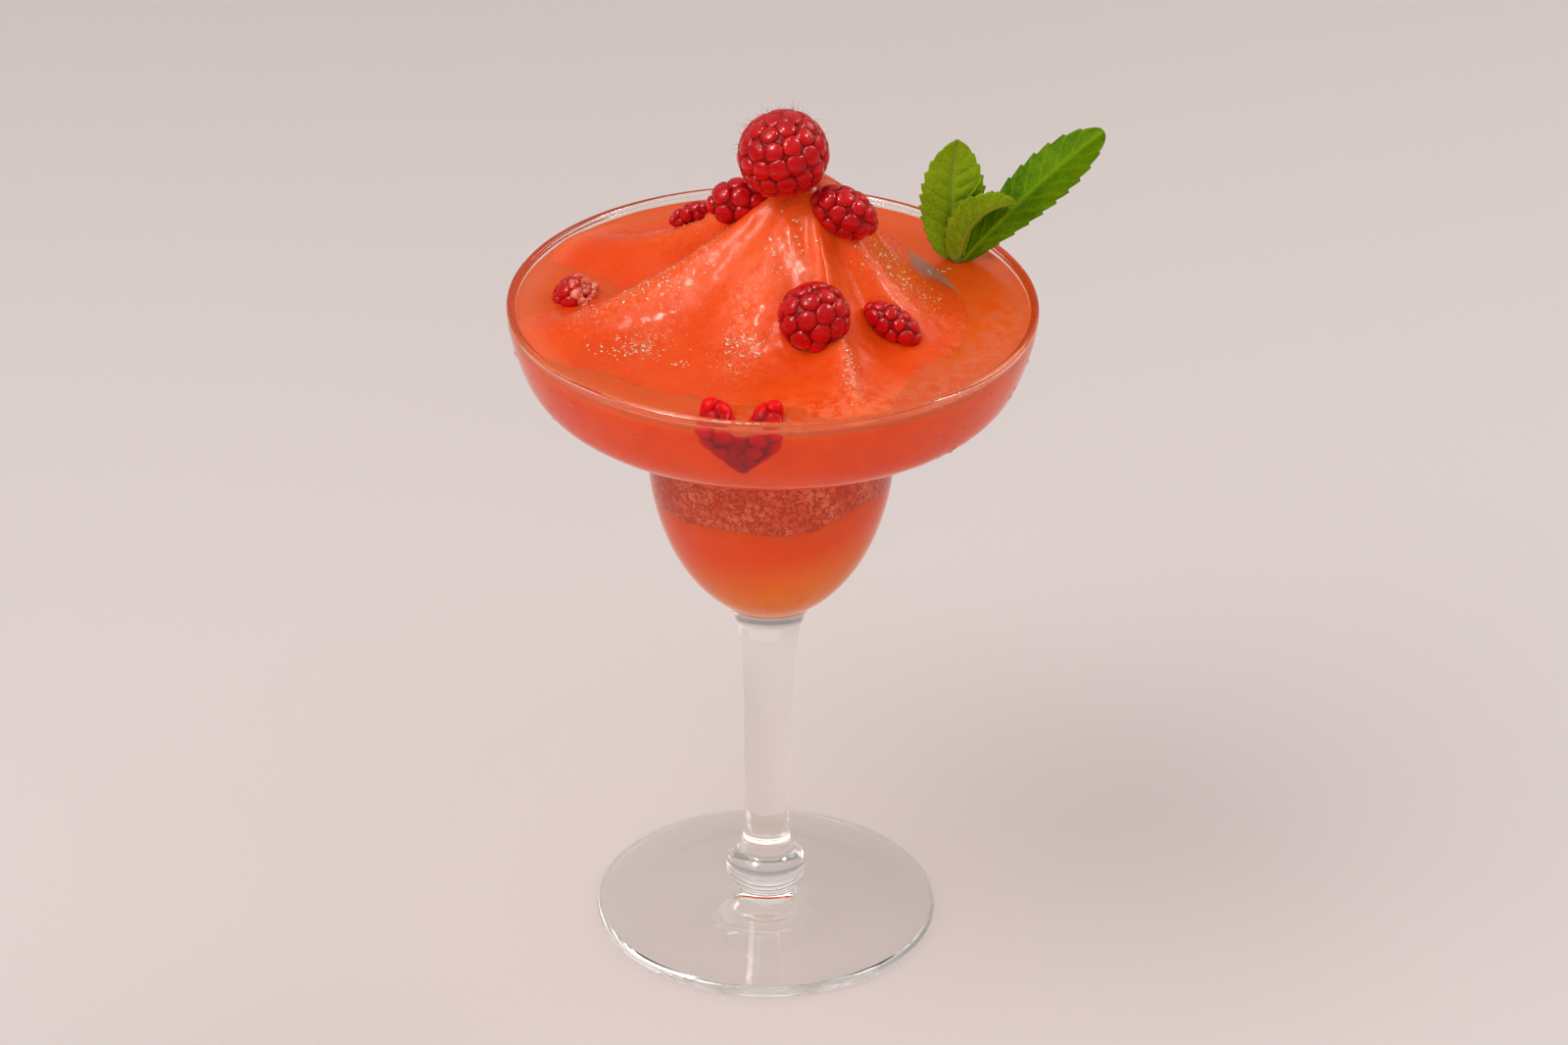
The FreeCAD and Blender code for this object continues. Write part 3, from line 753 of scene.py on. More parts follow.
# --------------------------------------------------------------------------- the glass
@dataclass
class StemGlass:
    """The stepped glass: round foot, knop, stem, small lower cup and wide bowl."""

    rim_radius: float = 57.0
    rim_height: float = 153.7
    wall: float = 1.8
    neck_radius: float = 27.0
    step_height: float = 126.5
    crease_radius: float = 2.2
    cup_centre_height: float = 120.0
    cup_drop: float = 42.0
    cup_floor_height: float = 83.5
    stem_join_height: float = 82.0
    knop_radius: float = 9.0
    knop_height: float = 11.6
    knop_half_thickness: float = 4.6
    knop_neck_radius: float = 5.9
    foot_radius: float = 38.2
    foot_edge: float = 2.8
    foot_dome: Pair = (11.0, 5.6)
    ring_inner_radius: float = 31.0
    base_hollow: float = 1.2
    stem_waist: Pair = (5.2, 33.0)
    stem_upper: Pair = (6.4, 70.0)
    stem_flare: Pair = (8.3, 77.8)
    bowl_shape: tuple[Pair, ...] = ((0.60, 0.190), (0.82, 0.365), (0.943, 0.650))
    seat: float = 0.25
    spokes: int = 192

    def cup_run(self, radius: float, drop: float, first: float, steps: int) -> Profile:
        """Return the lower cup's quarter ellipse from an angle to its upright wall."""
        centre, run = self.cup_centre_height, []
        for i in range(steps + 1):
            angle = first + (pi / 2 - first) * i / steps
            run.append((radius * sin(angle), centre - drop * cos(angle)))
        return run

    def cup_outside(self) -> Profile:
        """Return the lower cup's outside, from the stem's flare to its upright wall."""
        first = acos((self.cup_centre_height - self.stem_join_height) / self.cup_drop)
        return self.cup_run(self.neck_radius, self.cup_drop, first, 24)

    def crease(self, distance: float, steps: int) -> Profile:
        """Return the crease under the step, at a distance inside its outer face."""
        centre = (self.neck_radius + self.crease_radius, self.step_height - self.crease_radius)
        return round_run(centre, self.crease_radius + distance, 180, 90, steps)

    def bowl_outside(self) -> Profile:
        """Return the wide bowl's outside, from the neck to the rim's rounding."""
        points = [(self.neck_radius + self.crease_radius, self.step_height)]
        for along, up in self.bowl_shape:
            radius = self.neck_radius + (self.rim_radius - self.neck_radius) * along
            points.append((radius, self.step_height + (self.rim_height - self.step_height) * up))
        points.append((self.rim_radius, self.rim_height - self.wall / 2))
        return smooth_run(points, (1, 0), (0, 1), 12)

    def cavity(self, gap: float = 0.0) -> Profile:
        """Return the cavity's profile from its lowest point to the rim's rounding.

        Args:
            gap: how far it lies inside the glass's inner face; a negative gap is in the wall.
        """
        drop = self.cup_centre_height - (self.cup_floor_height + gap)
        cup = self.cup_run(self.neck_radius - self.wall - gap, drop, 0.0, 32)
        return joined(cup, self.crease(self.wall + gap, 8), beside(self.bowl_outside(), self.wall + gap))

    def foot_and_stem(self) -> Profile:
        """Return the outside from the axis under the foot up to the lower cup."""
        edge = (self.foot_radius - self.foot_edge / 2, self.foot_edge / 2)
        hollow = smooth_run([(0, self.base_hollow), (self.ring_inner_radius, 0)], (1, 0), (1, -0.15), 10)
        knop_low = (self.knop_neck_radius + 0.9, self.knop_height - self.knop_half_thickness)
        knop_high = (self.knop_neck_radius, self.knop_height + self.knop_half_thickness)
        knop = [knop_low, (self.knop_radius, self.knop_height), knop_high]
        top = smooth_run([(edge[0], self.foot_edge), self.foot_dome, knop_low], (-1, 0.02), (-1, 0.6), 14)
        bulge = smooth_run(knop, (0.9, 0.5), (-0.9, 0.5), 9)
        cup = self.cup_outside()
        onward = (cup[1][0] - cup[0][0], cup[1][1] - cup[0][1])
        waist = [knop_high, self.stem_waist, self.stem_upper, self.stem_flare, cup[0]]
        stem = smooth_run(waist, (-0.25, 1), onward, 12)
        return joined(hollow, round_run(edge, self.foot_edge / 2, -90, 90, 12), top, bulge, stem)

    def outline(self) -> Profile:
        """Return the whole section, from under the foot round the rim to the cup's floor."""
        rim_centre = (self.rim_radius - self.wall / 2, self.rim_height - self.wall / 2)
        rim = round_run(rim_centre, self.wall / 2, 0, 180, 12)
        crease = self.crease(0.0, 6)
        outside = joined(self.foot_and_stem(), self.cup_outside(), crease, self.bowl_outside(), rim)
        return joined(outside, list(reversed(self.cavity())))

    def wall_radius(self, height: float) -> float:
        """Return the radius just inside the wall's own glass at a height, where the contents end."""
        if not hasattr(self, "_seat"):
            self._seat = [(0.0, self.cup_floor_height - self.seat)]
            for point in self.cavity(-self.seat):
                if point[1] > self._seat[-1][1]:
                    self._seat.append(point)
        return radius_at(self._seat, height)

    def build(self) -> None:
        """Make the glass."""
        body = turned(self.outline(), self.spokes)
        finished("stem_glass", body, Slot.GLASS, ClearGlass(), nodes=("glass",))


@dataclass
class Filling:
    """A body that fills the glass between two height fields, and reaches into its wall."""

    vessel: StemGlass
    low: Field
    high: Field
    spokes: int
    side_steps: int
    top_steps: int
    low_steps: int

    def at_wall(self, field: Field, turn: Vector) -> float:
        """Return the height at which a field meets the wall in a direction."""
        height = field(0.0, 0.0)
        for _ in range(6):
            radius = self.vessel.wall_radius(height)
            height = field(turn.x * radius, turn.y * radius)
        return height

    def bmesh(self) -> BMesh:
        """Return the body: a unit drum whose rings are then moved to the wall and the fields."""
        drum: Profile = [(i / self.low_steps, 0.0) for i in range(self.low_steps + 1)]
        drum += [(1.0, i / self.side_steps) for i in range(1, self.side_steps + 1)]
        drum += [(1 - i / self.top_steps, 1.0) for i in range(1, self.top_steps + 1)]
        bm = turned(drum, self.spokes)
        ends: dict[int, Pair] = {}
        for vert in bm.verts:
            share, up = hypot(vert.co.x, vert.co.y), vert.co.z
            turn = Vector((vert.co.x, vert.co.y)).normalized() if share > 1e-6 else Vector((1.0, 0.0))
            spoke = round(atan2(turn.y, turn.x) / tau * self.spokes) % self.spokes
            if spoke not in ends:
                ends[spoke] = self.at_wall(self.low, turn), self.at_wall(self.high, turn)
            low, high = ends[spoke]
            if 1e-6 <= up <= 1 - 1e-6:
                height = low + (high - low) * up ** 1.6
                radius = self.vessel.wall_radius(height)
            else:
                edge, field = (low, self.low) if up < 1e-6 else (high, self.high)
                radius = share * self.vessel.wall_radius(edge)
                height = field(turn.x * radius, turn.y * radius)
            vert.co = turn.x * radius, turn.y * radius, height
        return bm


# ------------------------------------------------------------------------ the contents
@dataclass(frozen=True)
class Ridge:
    """A soft ridge, or with a negative reach a hollow, that runs down from the peak."""

    azimuth: float
    reach: float
    half_angle: float


@dataclass(frozen=True)
class Crest:
    """A narrow crease of slush that stands proud between two points in plan."""

    start: Pair
    end: Pair
    width: float
    rise: float

    def share(self, x: float, y: float) -> float:
        """Return how fully a point lies on the crest, from 0 to 1."""
        along = Vector(self.end) - Vector(self.start)
        to = Vector((x, y)) - Vector(self.start)
        t = clamped(to.dot(along) / along.length_squared)
        away = (to - along * t).length / self.width
        return exp(-away * away) * min(1.0, 6 * min(t, 1 - t) + 0.25)


@dataclass
class FrozenHeap:
    """The slush that fills the wide bowl and rises to a ridged peak, and its thin pool."""

    vessel: StemGlass
    level: float = LEVEL
    peak: Point = (7.0, 5.0, 180.5)
    peak_rounding: float = 8.0
    shoulder: Pair = (16.0, 10.5)
    shoulder_rise: float = 5.0
    shoulder_spread: float = 7.0
    floor: float = 142.2
    fade: float = 22.4
    ridges: tuple[Ridge, ...] = (
        Ridge(198.0, 13.0, 12.0),
        Ridge(174.0, -5.4, 10.0),
        Ridge(152.0, 12.0, 13.0),
        Ridge(222.0, 2.5, 24.0),
        Ridge(281.0, 7.0, 8.0),
        Ridge(306.0, -4.0, 10.0),
        Ridge(10.0, -4.0, 45.0),
        Ridge(35.0, -4.5, 20.0),
    )
    crests: tuple[Crest, ...] = (
        Crest((-8.0, 2.0), (-48.0, -11.0), 4.2, 0.5),
        Crest((2.0, -3.0), (9.0, -17.0), 1.6, 0.7),
        Crest((0.5, -5.0), (-5.0, -26.0), 2.2, 0.35),
        Crest((14.5, -26.0), (17.5, -45.0), 1.9, 1.0),
        Crest((17.0, -2.0), (33.0, -12.0), 3.5, 0.5),
        Crest((-10.0, 8.0), (-30.0, 22.0), 3.5, 0.5),
    )
    frost: tuple[Crest, ...] = (
        Crest((-10.0, 0.0), (-45.0, -12.0), 4.5, 1.0),
        Crest((-17.0, -6.0), (-30.0, -24.0), 5.0, 0.75),
        Crest((2.0, -4.0), (9.0, -17.0), 2.0, 0.8),
        Crest((-4.0, -8.0), (-8.0, -34.0), 5.0, 0.7),
        Crest((15.0, -26.0), (17.5, -44.0), 2.2, 1.0),
        Crest((19.0, 2.0), (34.0, -6.0), 7.0, 0.9),
        Crest((12.0, 14.0), (30.0, 26.0), 6.0, 0.7),
        Crest((-8.0, 12.0), (-26.0, 26.0), 5.0, 0.7),
    )
    blend: float = 1.8
    blend_by_mint: float = 0.45
    pool_depth: float = 0.7
    meniscus: float = 0.5
    under_pool: float = 0.35
    sunk: float = 0.15
    bumps: tuple[Point, ...] = ((0.32, 7.0, 3.1), (0.16, 2.8, 8.2), (0.07, 1.4, 5.5))

    def fade_at(self, azimuth: float) -> float:
        """Return the distance in which the slush falls to 1/e of its height."""
        fade = self.fade
        for ridge in self.ridges:
            apart = abs((azimuth - ridge.azimuth + 180.0) % 360.0 - 180.0)
            fade += ridge.reach * exp(-((apart / ridge.half_angle) ** 2))
        return fade

    def heap(self, x: float, y: float) -> float:
        """Return the height of the slush's smooth form."""
        px, py, top = self.peak
        distance = hypot(x - px, y - py)
        azimuth = degrees(atan2(y - py, x - px))
        rounded = hypot(distance, self.peak_rounding) - self.peak_rounding
        beside_peak = hypot(x - self.shoulder[0], y - self.shoulder[1]) / self.shoulder_spread
        height = self.floor + (top - self.floor) * exp(-rounded / self.fade_at(azimuth))
        return height + self.shoulder_rise * exp(-beside_peak ** 2)

    def surface(self, x: float, y: float) -> float:
        """Return the height of the slush's top, creased and uneven, never below the pool's bed."""
        height = self.heap(x, y)
        for crest in self.crests:
            height += crest.rise * crest.share(x, y)
        spot = Vector((x, y, 0.0))
        for depth, size, seed in self.bumps:
            height += depth * uneven(spot, size, seed)
        beside_mint = 1 / (1 + exp(-(x + 0.6 * y - 24.0) / 4.0))
        blend = self.blend + (self.blend_by_mint - self.blend) * beside_mint
        bed = self.level - self.under_pool
        spread = (height - self.sunk - bed) / blend
        return bed + blend * log1p(exp(min(spread, 40.0)))

    def pool_top(self, x: float, y: float) -> float:
        """Return the height of the pool's surface, which climbs a little at the glass."""
        to_wall = max(0.0, self.vessel.wall_radius(self.level) - hypot(x, y))
        spot = Vector((x, y, 0.0))
        swell = 0.10 * uneven(spot, 9.0, 1.3) + 0.05 * uneven(spot, 3.0, 2.2)
        return self.level + self.meniscus * exp(-to_wall / 0.8) + swell

    def frosted(self, x: float, y: float) -> float:
        """Return how frosted the slush is at a place, from 0 to 1."""
        return max(crest.rise * crest.share(x, y) for crest in self.frost)

    def build(self) -> None:
        """Make the slush and its pool."""
        steps = {"side_steps": 26, "top_steps": 120, "low_steps": 3}
        bm = Filling(self.vessel, lambda x, y: FROTH_TOP - 0.1, self.surface, spokes=288, **steps).bmesh()
        frosted = layer(bm, "crest")
        for vert in bm.verts:
            if vert.co.z < self.level - 1.0:
                continue
            near_top = clamped((vert.co.z - 168.0) / 10.0) * 0.35
            vert[frosted] = min(1.0, max(self.frosted(vert.co.x, vert.co.y), near_top))
        for face in bm.faces:
            middle = face.calc_center_median()
            face.material_index = int(middle.xy.length > self.vessel.wall_radius(middle.z) - 0.2)
        finished("slush_heap", bm, Slot.SLUSH, FrozenSlush(), SlushAtWall(), nodes=("slush",))
        bed = self.level - self.pool_depth
        steps = {"side_steps": 6, "top_steps": 110, "low_steps": 3}
        bm = Filling(self.vessel, lambda x, y: bed, self.pool_top, spokes=240, **steps).bmesh()
        slushy = layer(bm, "slushy")
        for vert in bm.verts:
            below = self.level - self.heap(vert.co.x, vert.co.y)
            vert[slushy] = 1 - clamped((below - 3.0) / 5.5)
        finished("pool_surface", bm, Slot.POOL, ThinPool(), nodes=("pool",))


@dataclass
class LowerCup:
    """What the lower cup holds: amber drink, and froth with a wavy underside on top of it."""

    vessel: StemGlass
    froth_height: float = 110.3
    tilt: float = 0.11
    wave: float = 1.1
    wave_length: float = 31.0
    overlap: float = 0.3

    def underside(self, x: float, y: float) -> float:
        """Return the height of the face between the drink and its froth."""
        wave = sin(tau * (x + 0.6 * y) / self.wave_length)
        ragged = 0.35 * uneven(Vector((x, y, 0.0)), 3.0, 4.4)
        return self.froth_height + self.tilt * x + self.wave * wave + ragged

    def drink_top(self, x: float, y: float) -> float:
        """Return the height of the drink's top, a little way into the froth."""
        return self.underside(x, y) + self.overlap

    def build(self) -> None:
        """Make the drink and the froth."""
        floor = self.vessel.cup_floor_height - self.vessel.seat + 0.01
        steps = {"side_steps": 60, "top_steps": 24, "low_steps": 3}
        bm = Filling(self.vessel, lambda x, y: floor, self.drink_top, spokes=192, **steps).bmesh()
        finished("amber_body", bm, Slot.AMBER, AmberDrink(), nodes=("amber_drink",))
        steps = {"side_steps": 20, "top_steps": 6, "low_steps": 24}
        bm = Filling(self.vessel, self.underside, lambda x, y: FROTH_TOP, spokes=192, **steps).bmesh()
        bmesh.ops.scale(bm, vec=(1.002, 1.002, 1.0), verts=bm.verts)
        finished("froth_body", bm, Slot.FROTH, PinkFroth(), nodes=("froth_band",))


# ----------------------------------------------------------------------- the raspberries
@dataclass
class Raspberry:
    """A raspberry: staggered rings of drupelets round a core."""

    node: str
    centre: Point
    axis: Point
    radius: float
    half_length: float
    drupelet: float
    torn: bool = False
    torn_above: float = 0.45
    spacing: float = 1.62
    unevenness: float = 0.16
    core_inset: float = 0.47
    torn_core_inset: float = 1.6
    swell: float = 1.26
    dimple: float = 0.13
    outline_from: float = 0.95
    outline_give: float = 0.26
    crevice_shade_depths: Pair = (0.10, 0.55)

    def turn(self) -> Quaternion:
        """Return the turn from upright to the berry's axis."""
        return UP.rotation_difference(Vector(self.axis).normalized())

    def ring_angles(self) -> list[float]:
        """Return polar angles from tip to base that space rings evenly along the berry."""
        across, reach = self.radius - self.drupelet, self.half_length - self.drupelet
        steps = 180
        lengths = [0.0]
        for i in range(steps):
            angle = pi * (i + 0.5) / steps
            speed = hypot(across * cos(angle), reach * sin(angle))
            lengths.append(lengths[-1] + speed * pi / steps)
        rings = max(3, round(lengths[-1] / (self.spacing * self.drupelet)))
        angles = []
        for i in range(rings + 1):
            far = lengths[-1] * i / rings
            nearest = min(range(steps + 1), key=lambda k: abs(lengths[k] - far))
            angles.append(pi * nearest / steps)
        return angles

    def add_to(self, bm: BMesh, source: random.Random) -> None:
        """Add the berry's drupelets and core to a bmesh, with how deep each point lies for the painted
        crevice shade.
        """
        crevice_shade = layer(bm, "crevice_shade")
        turn, centre = self.turn(), Vector(self.centre)
        across, reach = self.radius - self.drupelet, self.half_length - self.drupelet
        for angle in self.ring_angles():
            ring = across * sin(angle)
            count = max(1, round(tau * ring / (self.spacing * self.drupelet)))
            first = source.uniform(0, tau)
            for j in range(count):
                around = first + tau * j / count
                size = self.drupelet * (1 - self.unevenness * source.random())
                place = Vector((ring * cos(around), ring * sin(around), reach * cos(angle)))
                if self.torn and place.z > reach * self.torn_above:
                    continue
                outward = Vector((place.x / across, place.y / across, place.z / reach)).normalized()
                lean = UP.rotation_difference(outward)
                for vert in ball(bm, size):
                    at, vert[crevice_shade] = self.bead(vert.co, place, lean)
                    vert.co = centre + turn @ at
        inset = self.drupelet * (self.torn_core_inset if self.torn else self.core_inset)
        wide, tall = self.radius - inset, self.half_length - inset
        for vert in ball(bm, 1.0):
            vert.co = centre + turn @ Vector((vert.co.x * wide, vert.co.y * wide, vert.co.z * tall))
            # the core shows only between the drupelets, so it takes the full painted shade
            vert[crevice_shade] = 1.0

    def bead(self, point: Vector, place: Vector, lean: Quaternion) -> tuple[Vector, float]:
        """Shape a drupelet, a soft bead drawn out a little and kept near the berry's own outline.

        Args:
            point: a point of the round bead, about its own middle.
            place: the bead's middle in the berry.
            lean: the turn from upright to the way it faces.
        Returns:
            The point in the berry, and how deep it lies between the drupelets, from 0 to 1, for the painted
            crevice shade.
        """
        pinch = 1.0 + self.dimple * uneven(point + place * 3, 1.9, 2.0)
        at = place + lean @ (point * pinch * self.swell)
        far = sqrt((at.x ** 2 + at.y ** 2) / self.radius ** 2 + at.z ** 2 / self.half_length ** 2)
        sunk = (1.0 - far) * self.radius / self.drupelet
        if far > self.outline_from:
            at *= (self.outline_from + self.outline_give * (far - self.outline_from)) / far
        shallow, deep = self.crevice_shade_depths
        return at, clamped((sunk - shallow) / (deep - shallow)) ** 1.6

    def build(self) -> None:
        """Make the berry."""
        bm = bmesh.new()
        self.add_to(bm, random.Random(self.node))
        name = self.node.replace("raspberry_", "berry_")
        finished(name, bm, Slot.RASPBERRY, RaspberrySkin(), nodes=(self.node,))


@dataclass
class SplitBerry:
    """The split raspberry against the front wall: three lobes that meet at its tip, like a heart."""

    vessel: StemGlass
    tip: Point = (-5.4, -48.7, 142.8)
    shoulders: tuple[Point, ...] = ((-12.4, -47.8, 152.5), (-6.4, -48.3, 147.6), (0.2, -48.4, 152.3))
    lobe_radius: float = 3.9
    overrun: float = 2.8
    drupelet: float = 1.8
    proud: float = 0.9
    flattened: float = 0.85
    pressed: float = 6.0
    taper_from: float = 147.5
    taper_to: float = 139.0
    taper: float = 0.5
    free_from: float = 149.0
    free_at: float = 152.5

    def build(self) -> None:
        """Make the lobes and press their front against the glass."""
        bm = bmesh.new()
        source = random.Random("heart")
        tip = Vector(self.tip)
        for shoulder in self.shoulders:
            end = Vector(shoulder)
            middle = (tip + end) / 2
            half = (tip - end).length / 2 + self.overrun
            lobe = Raspberry("heart", tuple(middle), tuple(tip - end), self.lobe_radius, half, self.drupelet)
            lobe.add_to(bm, source)
        for vert in bm.verts:
            low = clamped((self.taper_from - vert.co.z) / (self.taper_from - self.taper_to))
            vert.co.x = tip.x + (vert.co.x - tip.x) * (1 - self.taper * low ** 1.5)
            self.press(vert)
        skin = RaspberrySkin(
            "split raspberry skin", (0.95, 0.003, 0.003), (0.80, 0.001, 0.002), (0.55, 0.0, 0.001), coat=0.1
        )
        finished("berry_split", bm, Slot.RASPBERRY, skin, nodes=("raspberry_heart",))

    def press(self, vert: BMVert) -> None:
        """Move a point to the wall's glass or behind it; above free_from the berry leaves the wall."""
        tip = Vector(self.tip).xy
        reach = tip.length + self.lobe_radius
        out = Vector((vert.co.x, vert.co.y))
        held = clamped((self.free_at - vert.co.z) / (self.free_at - self.free_from))
        face = self.vessel.wall_radius(min(vert.co.z, self.free_at)) + self.proud
        fore = reach * out.normalized().dot(tip.normalized())
        behind = fore - out.length + (face - fore) * (1 - held)
        pressed = self.pressed * held
        if behind < pressed:
            behind = self.proud * self.flattened * max(0.0, behind) / pressed
        else:
            behind -= pressed - self.proud * self.flattened * held
        vert.co.xy = out.normalized() * (face - behind)


@dataclass
class Berries:
    """All the raspberries, with the pale flesh of the torn one and the fine hairs."""

    vessel: StemGlass
    berries: tuple[Raspberry, ...] = (
        Raspberry("raspberry_top", (1.8, 1.2, 187.6), (-0.25, -0.15, 0.95), 10.2, 9.7, 2.15),
        Raspberry("raspberry_peak_left", (-7.3, 6.2, 174.0), (0.97, 0.10, 0.12), 5.4, 7.4, 1.95),
        Raspberry("raspberry_peak_right", (14.9, -1.4, 175.3), (0.88, -0.10, -0.46), 5.6, 8.1, 1.95),
        Raspberry("raspberry_left", (-42.2, 4.6, 151.4), (0.75, -0.25, 0.60), 5.2, 5.6, 1.75, torn=True),
        Raspberry("raspberry_front_centre", (8.7, -22.6, 161.0), (0.35, -0.75, 0.50), 8.0, 7.8, 2.1),
        Raspberry("raspberry_front_right", (25.3, -15.8, 156.3), (0.82, -0.30, -0.48), 4.0, 7.3, 1.55),
        Raspberry("raspberry_fragment", (-18.2, 20.6, 163.8), (-0.80, 0.28, -0.53), 2.5, 5.6, 1.35),
    )
    lumps: int = 26
    lump_inset: float = 1.2
    lump_turn: float = 2.4
    hair_length: float = 2.0
    hair_radius: float = 0.045
    hairs_on_top: int = 90
    hairs_on_other: int = 16
    hair_sides: int = 5
    hair_spans: int = 3
    hair_taper: float = 0.72

    def flesh(self, berry: Raspberry) -> None:
        """Make the pale torn inside of a berry: a ragged cup of soft lumps."""
        bm = bmesh.new()
        source = random.Random("torn flesh")
        turn = berry.turn()
        centre = Vector(berry.centre) + Vector(berry.axis).normalized() * berry.half_length * 0.25
        for i in range(self.lumps):
            around = i * self.lump_turn
            ring = (berry.radius - self.lump_inset) * sqrt(i / self.lumps)
            lump = ball(bm, 0.75 + 0.5 * source.random(), 2)
            lift = 1.3 * (ring / berry.radius) ** 2 + 0.5 * source.random()
            spot = Vector((ring * cos(around), ring * sin(around), lift))
            for vert in lump:
                vert.co *= 1 + 0.3 * uneven(vert.co + spot, 0.8, 6.0)
                vert.co = centre + turn @ (spot + vert.co)
        finished("torn_flesh", bm, Slot.RASPBERRY, PaleFlesh())

    def hairs(self) -> None:
        """Make the fine curved hairs that stand on the drupelets."""
        bm = bmesh.new()
        source = random.Random("hairs")
        for berry in self.berries:
            turn = berry.turn()
            top = berry.node == "raspberry_top"
            for _ in range(self.hairs_on_top if top else self.hairs_on_other):
                around, up = source.uniform(0, tau), source.uniform(0.0, 1.0) ** 0.6
                flat = sqrt(1 - up * up)
                outward = Vector((flat * cos(around), flat * sin(around), up))
                foot = outward * Vector((berry.radius, berry.radius, berry.half_length))
                lean = Vector([source.uniform(-0.6, 0.6) for _ in range(3)])
                rise = turn @ (outward + lean * 0.6)
                if rise.z < -0.1:
                    continue
                root = Vector(berry.centre) + turn @ (foot * 0.97)
                length = self.hair_length * source.uniform(0.5, 1.15)
                self.hair(bm, root, rise.normalized(), turn @ lean, length)
        bmesh.ops.recalc_face_normals(bm, faces=bm.faces)
        finished("berry_hairs", bm, Slot.RASPBERRY, BerryHair())

    def hair(self, bm: BMesh, root: Vector, rise: Vector, bend: Vector, length: float) -> None:
        """Add one tapered hair that curves to one side."""
        turn = UP.rotation_difference(rise).to_matrix().to_4x4()
        place = Matrix.Translation(root) @ turn
        ring = bmesh.ops.create_circle(
            bm, cap_ends=True, segments=self.hair_sides, radius=self.hair_radius, matrix=place
        )["verts"]
        edges = list({edge for vert in ring for edge in vert.link_edges})
        for step in range(1, self.hair_spans + 1):
            made = bmesh.ops.extrude_edge_only(bm, edges=edges)["geom"]
            verts = [item for item in made if isinstance(item, BMVert)]
            edges = [item for item in made if isinstance(item, BMEdge)
                     and item.verts[0] in verts and item.verts[1] in verts]
            onward = rise * (length / self.hair_spans)
            onward += bend * (0.5 * length * (2 * step - 1) / self.hair_spans ** 2)
            bmesh.ops.translate(bm, verts=verts, vec=onward)
            middle = sum((vert.co for vert in verts), Vector()) / len(verts)
            for vert in verts:
                vert.co = middle + (vert.co - middle) * self.hair_taper
        bmesh.ops.contextual_create(bm, geom=edges)

    def build(self) -> None:
        """Make every berry."""
        for berry in self.berries:
            berry.build()
            if berry.torn:
                self.flesh(berry)
        SplitBerry(self.vessel).build()
        self.hairs()


# ------------------------------------------------------------------------------ the mint
@dataclass(frozen=True)
class MintLeaf:
    """One leaf, from its place on the stem's head to its tip."""

    base: Point
    reach: Point
    bow: Point
    side: Point
    half_width: float
    fold: float
    age: float
    belly: float = 1.0
    bluntness: float = 0.55
    teeth: int = 11
    tooth_depth: float = 0.13
    ribs: int = 9
    quilting: float = 0.42
    petiole_half_width: float = 0.55
    midrib_half_width: float = 0.45
    midrib_depth: float = 0.45
    wander: float = 0.5

    def half_width_at(self, share: float) -> float:
        """Return the half width at a share of the leaf's length, with forward saw teeth."""
        outline = max(0.0, sin(pi * min(1.0, share) ** self.belly)) ** self.bluntness
        saw = (share * self.teeth) % 1.0
        tooth = 1 - self.tooth_depth * (1 - saw) if share > 0.12 else 1.0
        return self.petiole_half_width * (1 - share) + self.half_width * outline * tooth + 0.12

    def add_to(self, bm: BMesh, head: Vector, along_steps: int, across_steps: int) -> None:
        """Add the leaf's single-sided blade to a bmesh, with its veins' mask and its painted light share."""
        vein, age = layer(bm, "vein"), layer(bm, "age")
        made = bmesh.ops.create_grid(bm, x_segments=along_steps, y_segments=across_steps, size=1.0)["verts"]
        base = head + Vector(self.base)
        reach, bow, side = Vector(self.reach), Vector(self.bow), Vector(self.side).normalized()
        fold = radians(self.fold)
        for vert in made:
            share, across = (vert.co.x + 1) / 2, vert.co.y
            middle = base + reach * share + bow * (4 * share * (1 - share))
            along = (reach + bow * (4 - 8 * share)).normalized()
            flat = (side - along * side.dot(along)).normalized()
            normal = flat.cross(along)
            half, away = self.half_width_at(share), abs(across)
            pillow = abs(sin(pi * (share * self.ribs - away * 1.5))) ** 0.55
            rib = 1 - min(1.0, pillow * 1.7)
            midrib = exp(-((away * half / self.midrib_half_width) ** 2))
            inside = min(1.0, away * 5) * (1 - away ** 6) * sin(pi * share) ** 0.5
            lift = self.quilting * (pillow - 0.6) * inside - self.midrib_depth * midrib
            lift += self.wander * uneven(middle + flat * across * half, 6.0, self.half_width) * away
            spread = across * cos(fold) * half
            vert.co = middle + flat * spread + normal * (away * sin(fold) * half + lift)
            vert[vein] = min(1.0, max(midrib, rib * min(1.0, away * 6 + 0.2)))
            # painted light: how lit the leaf is painted, from 0 to 1
            vert[age] = self.age


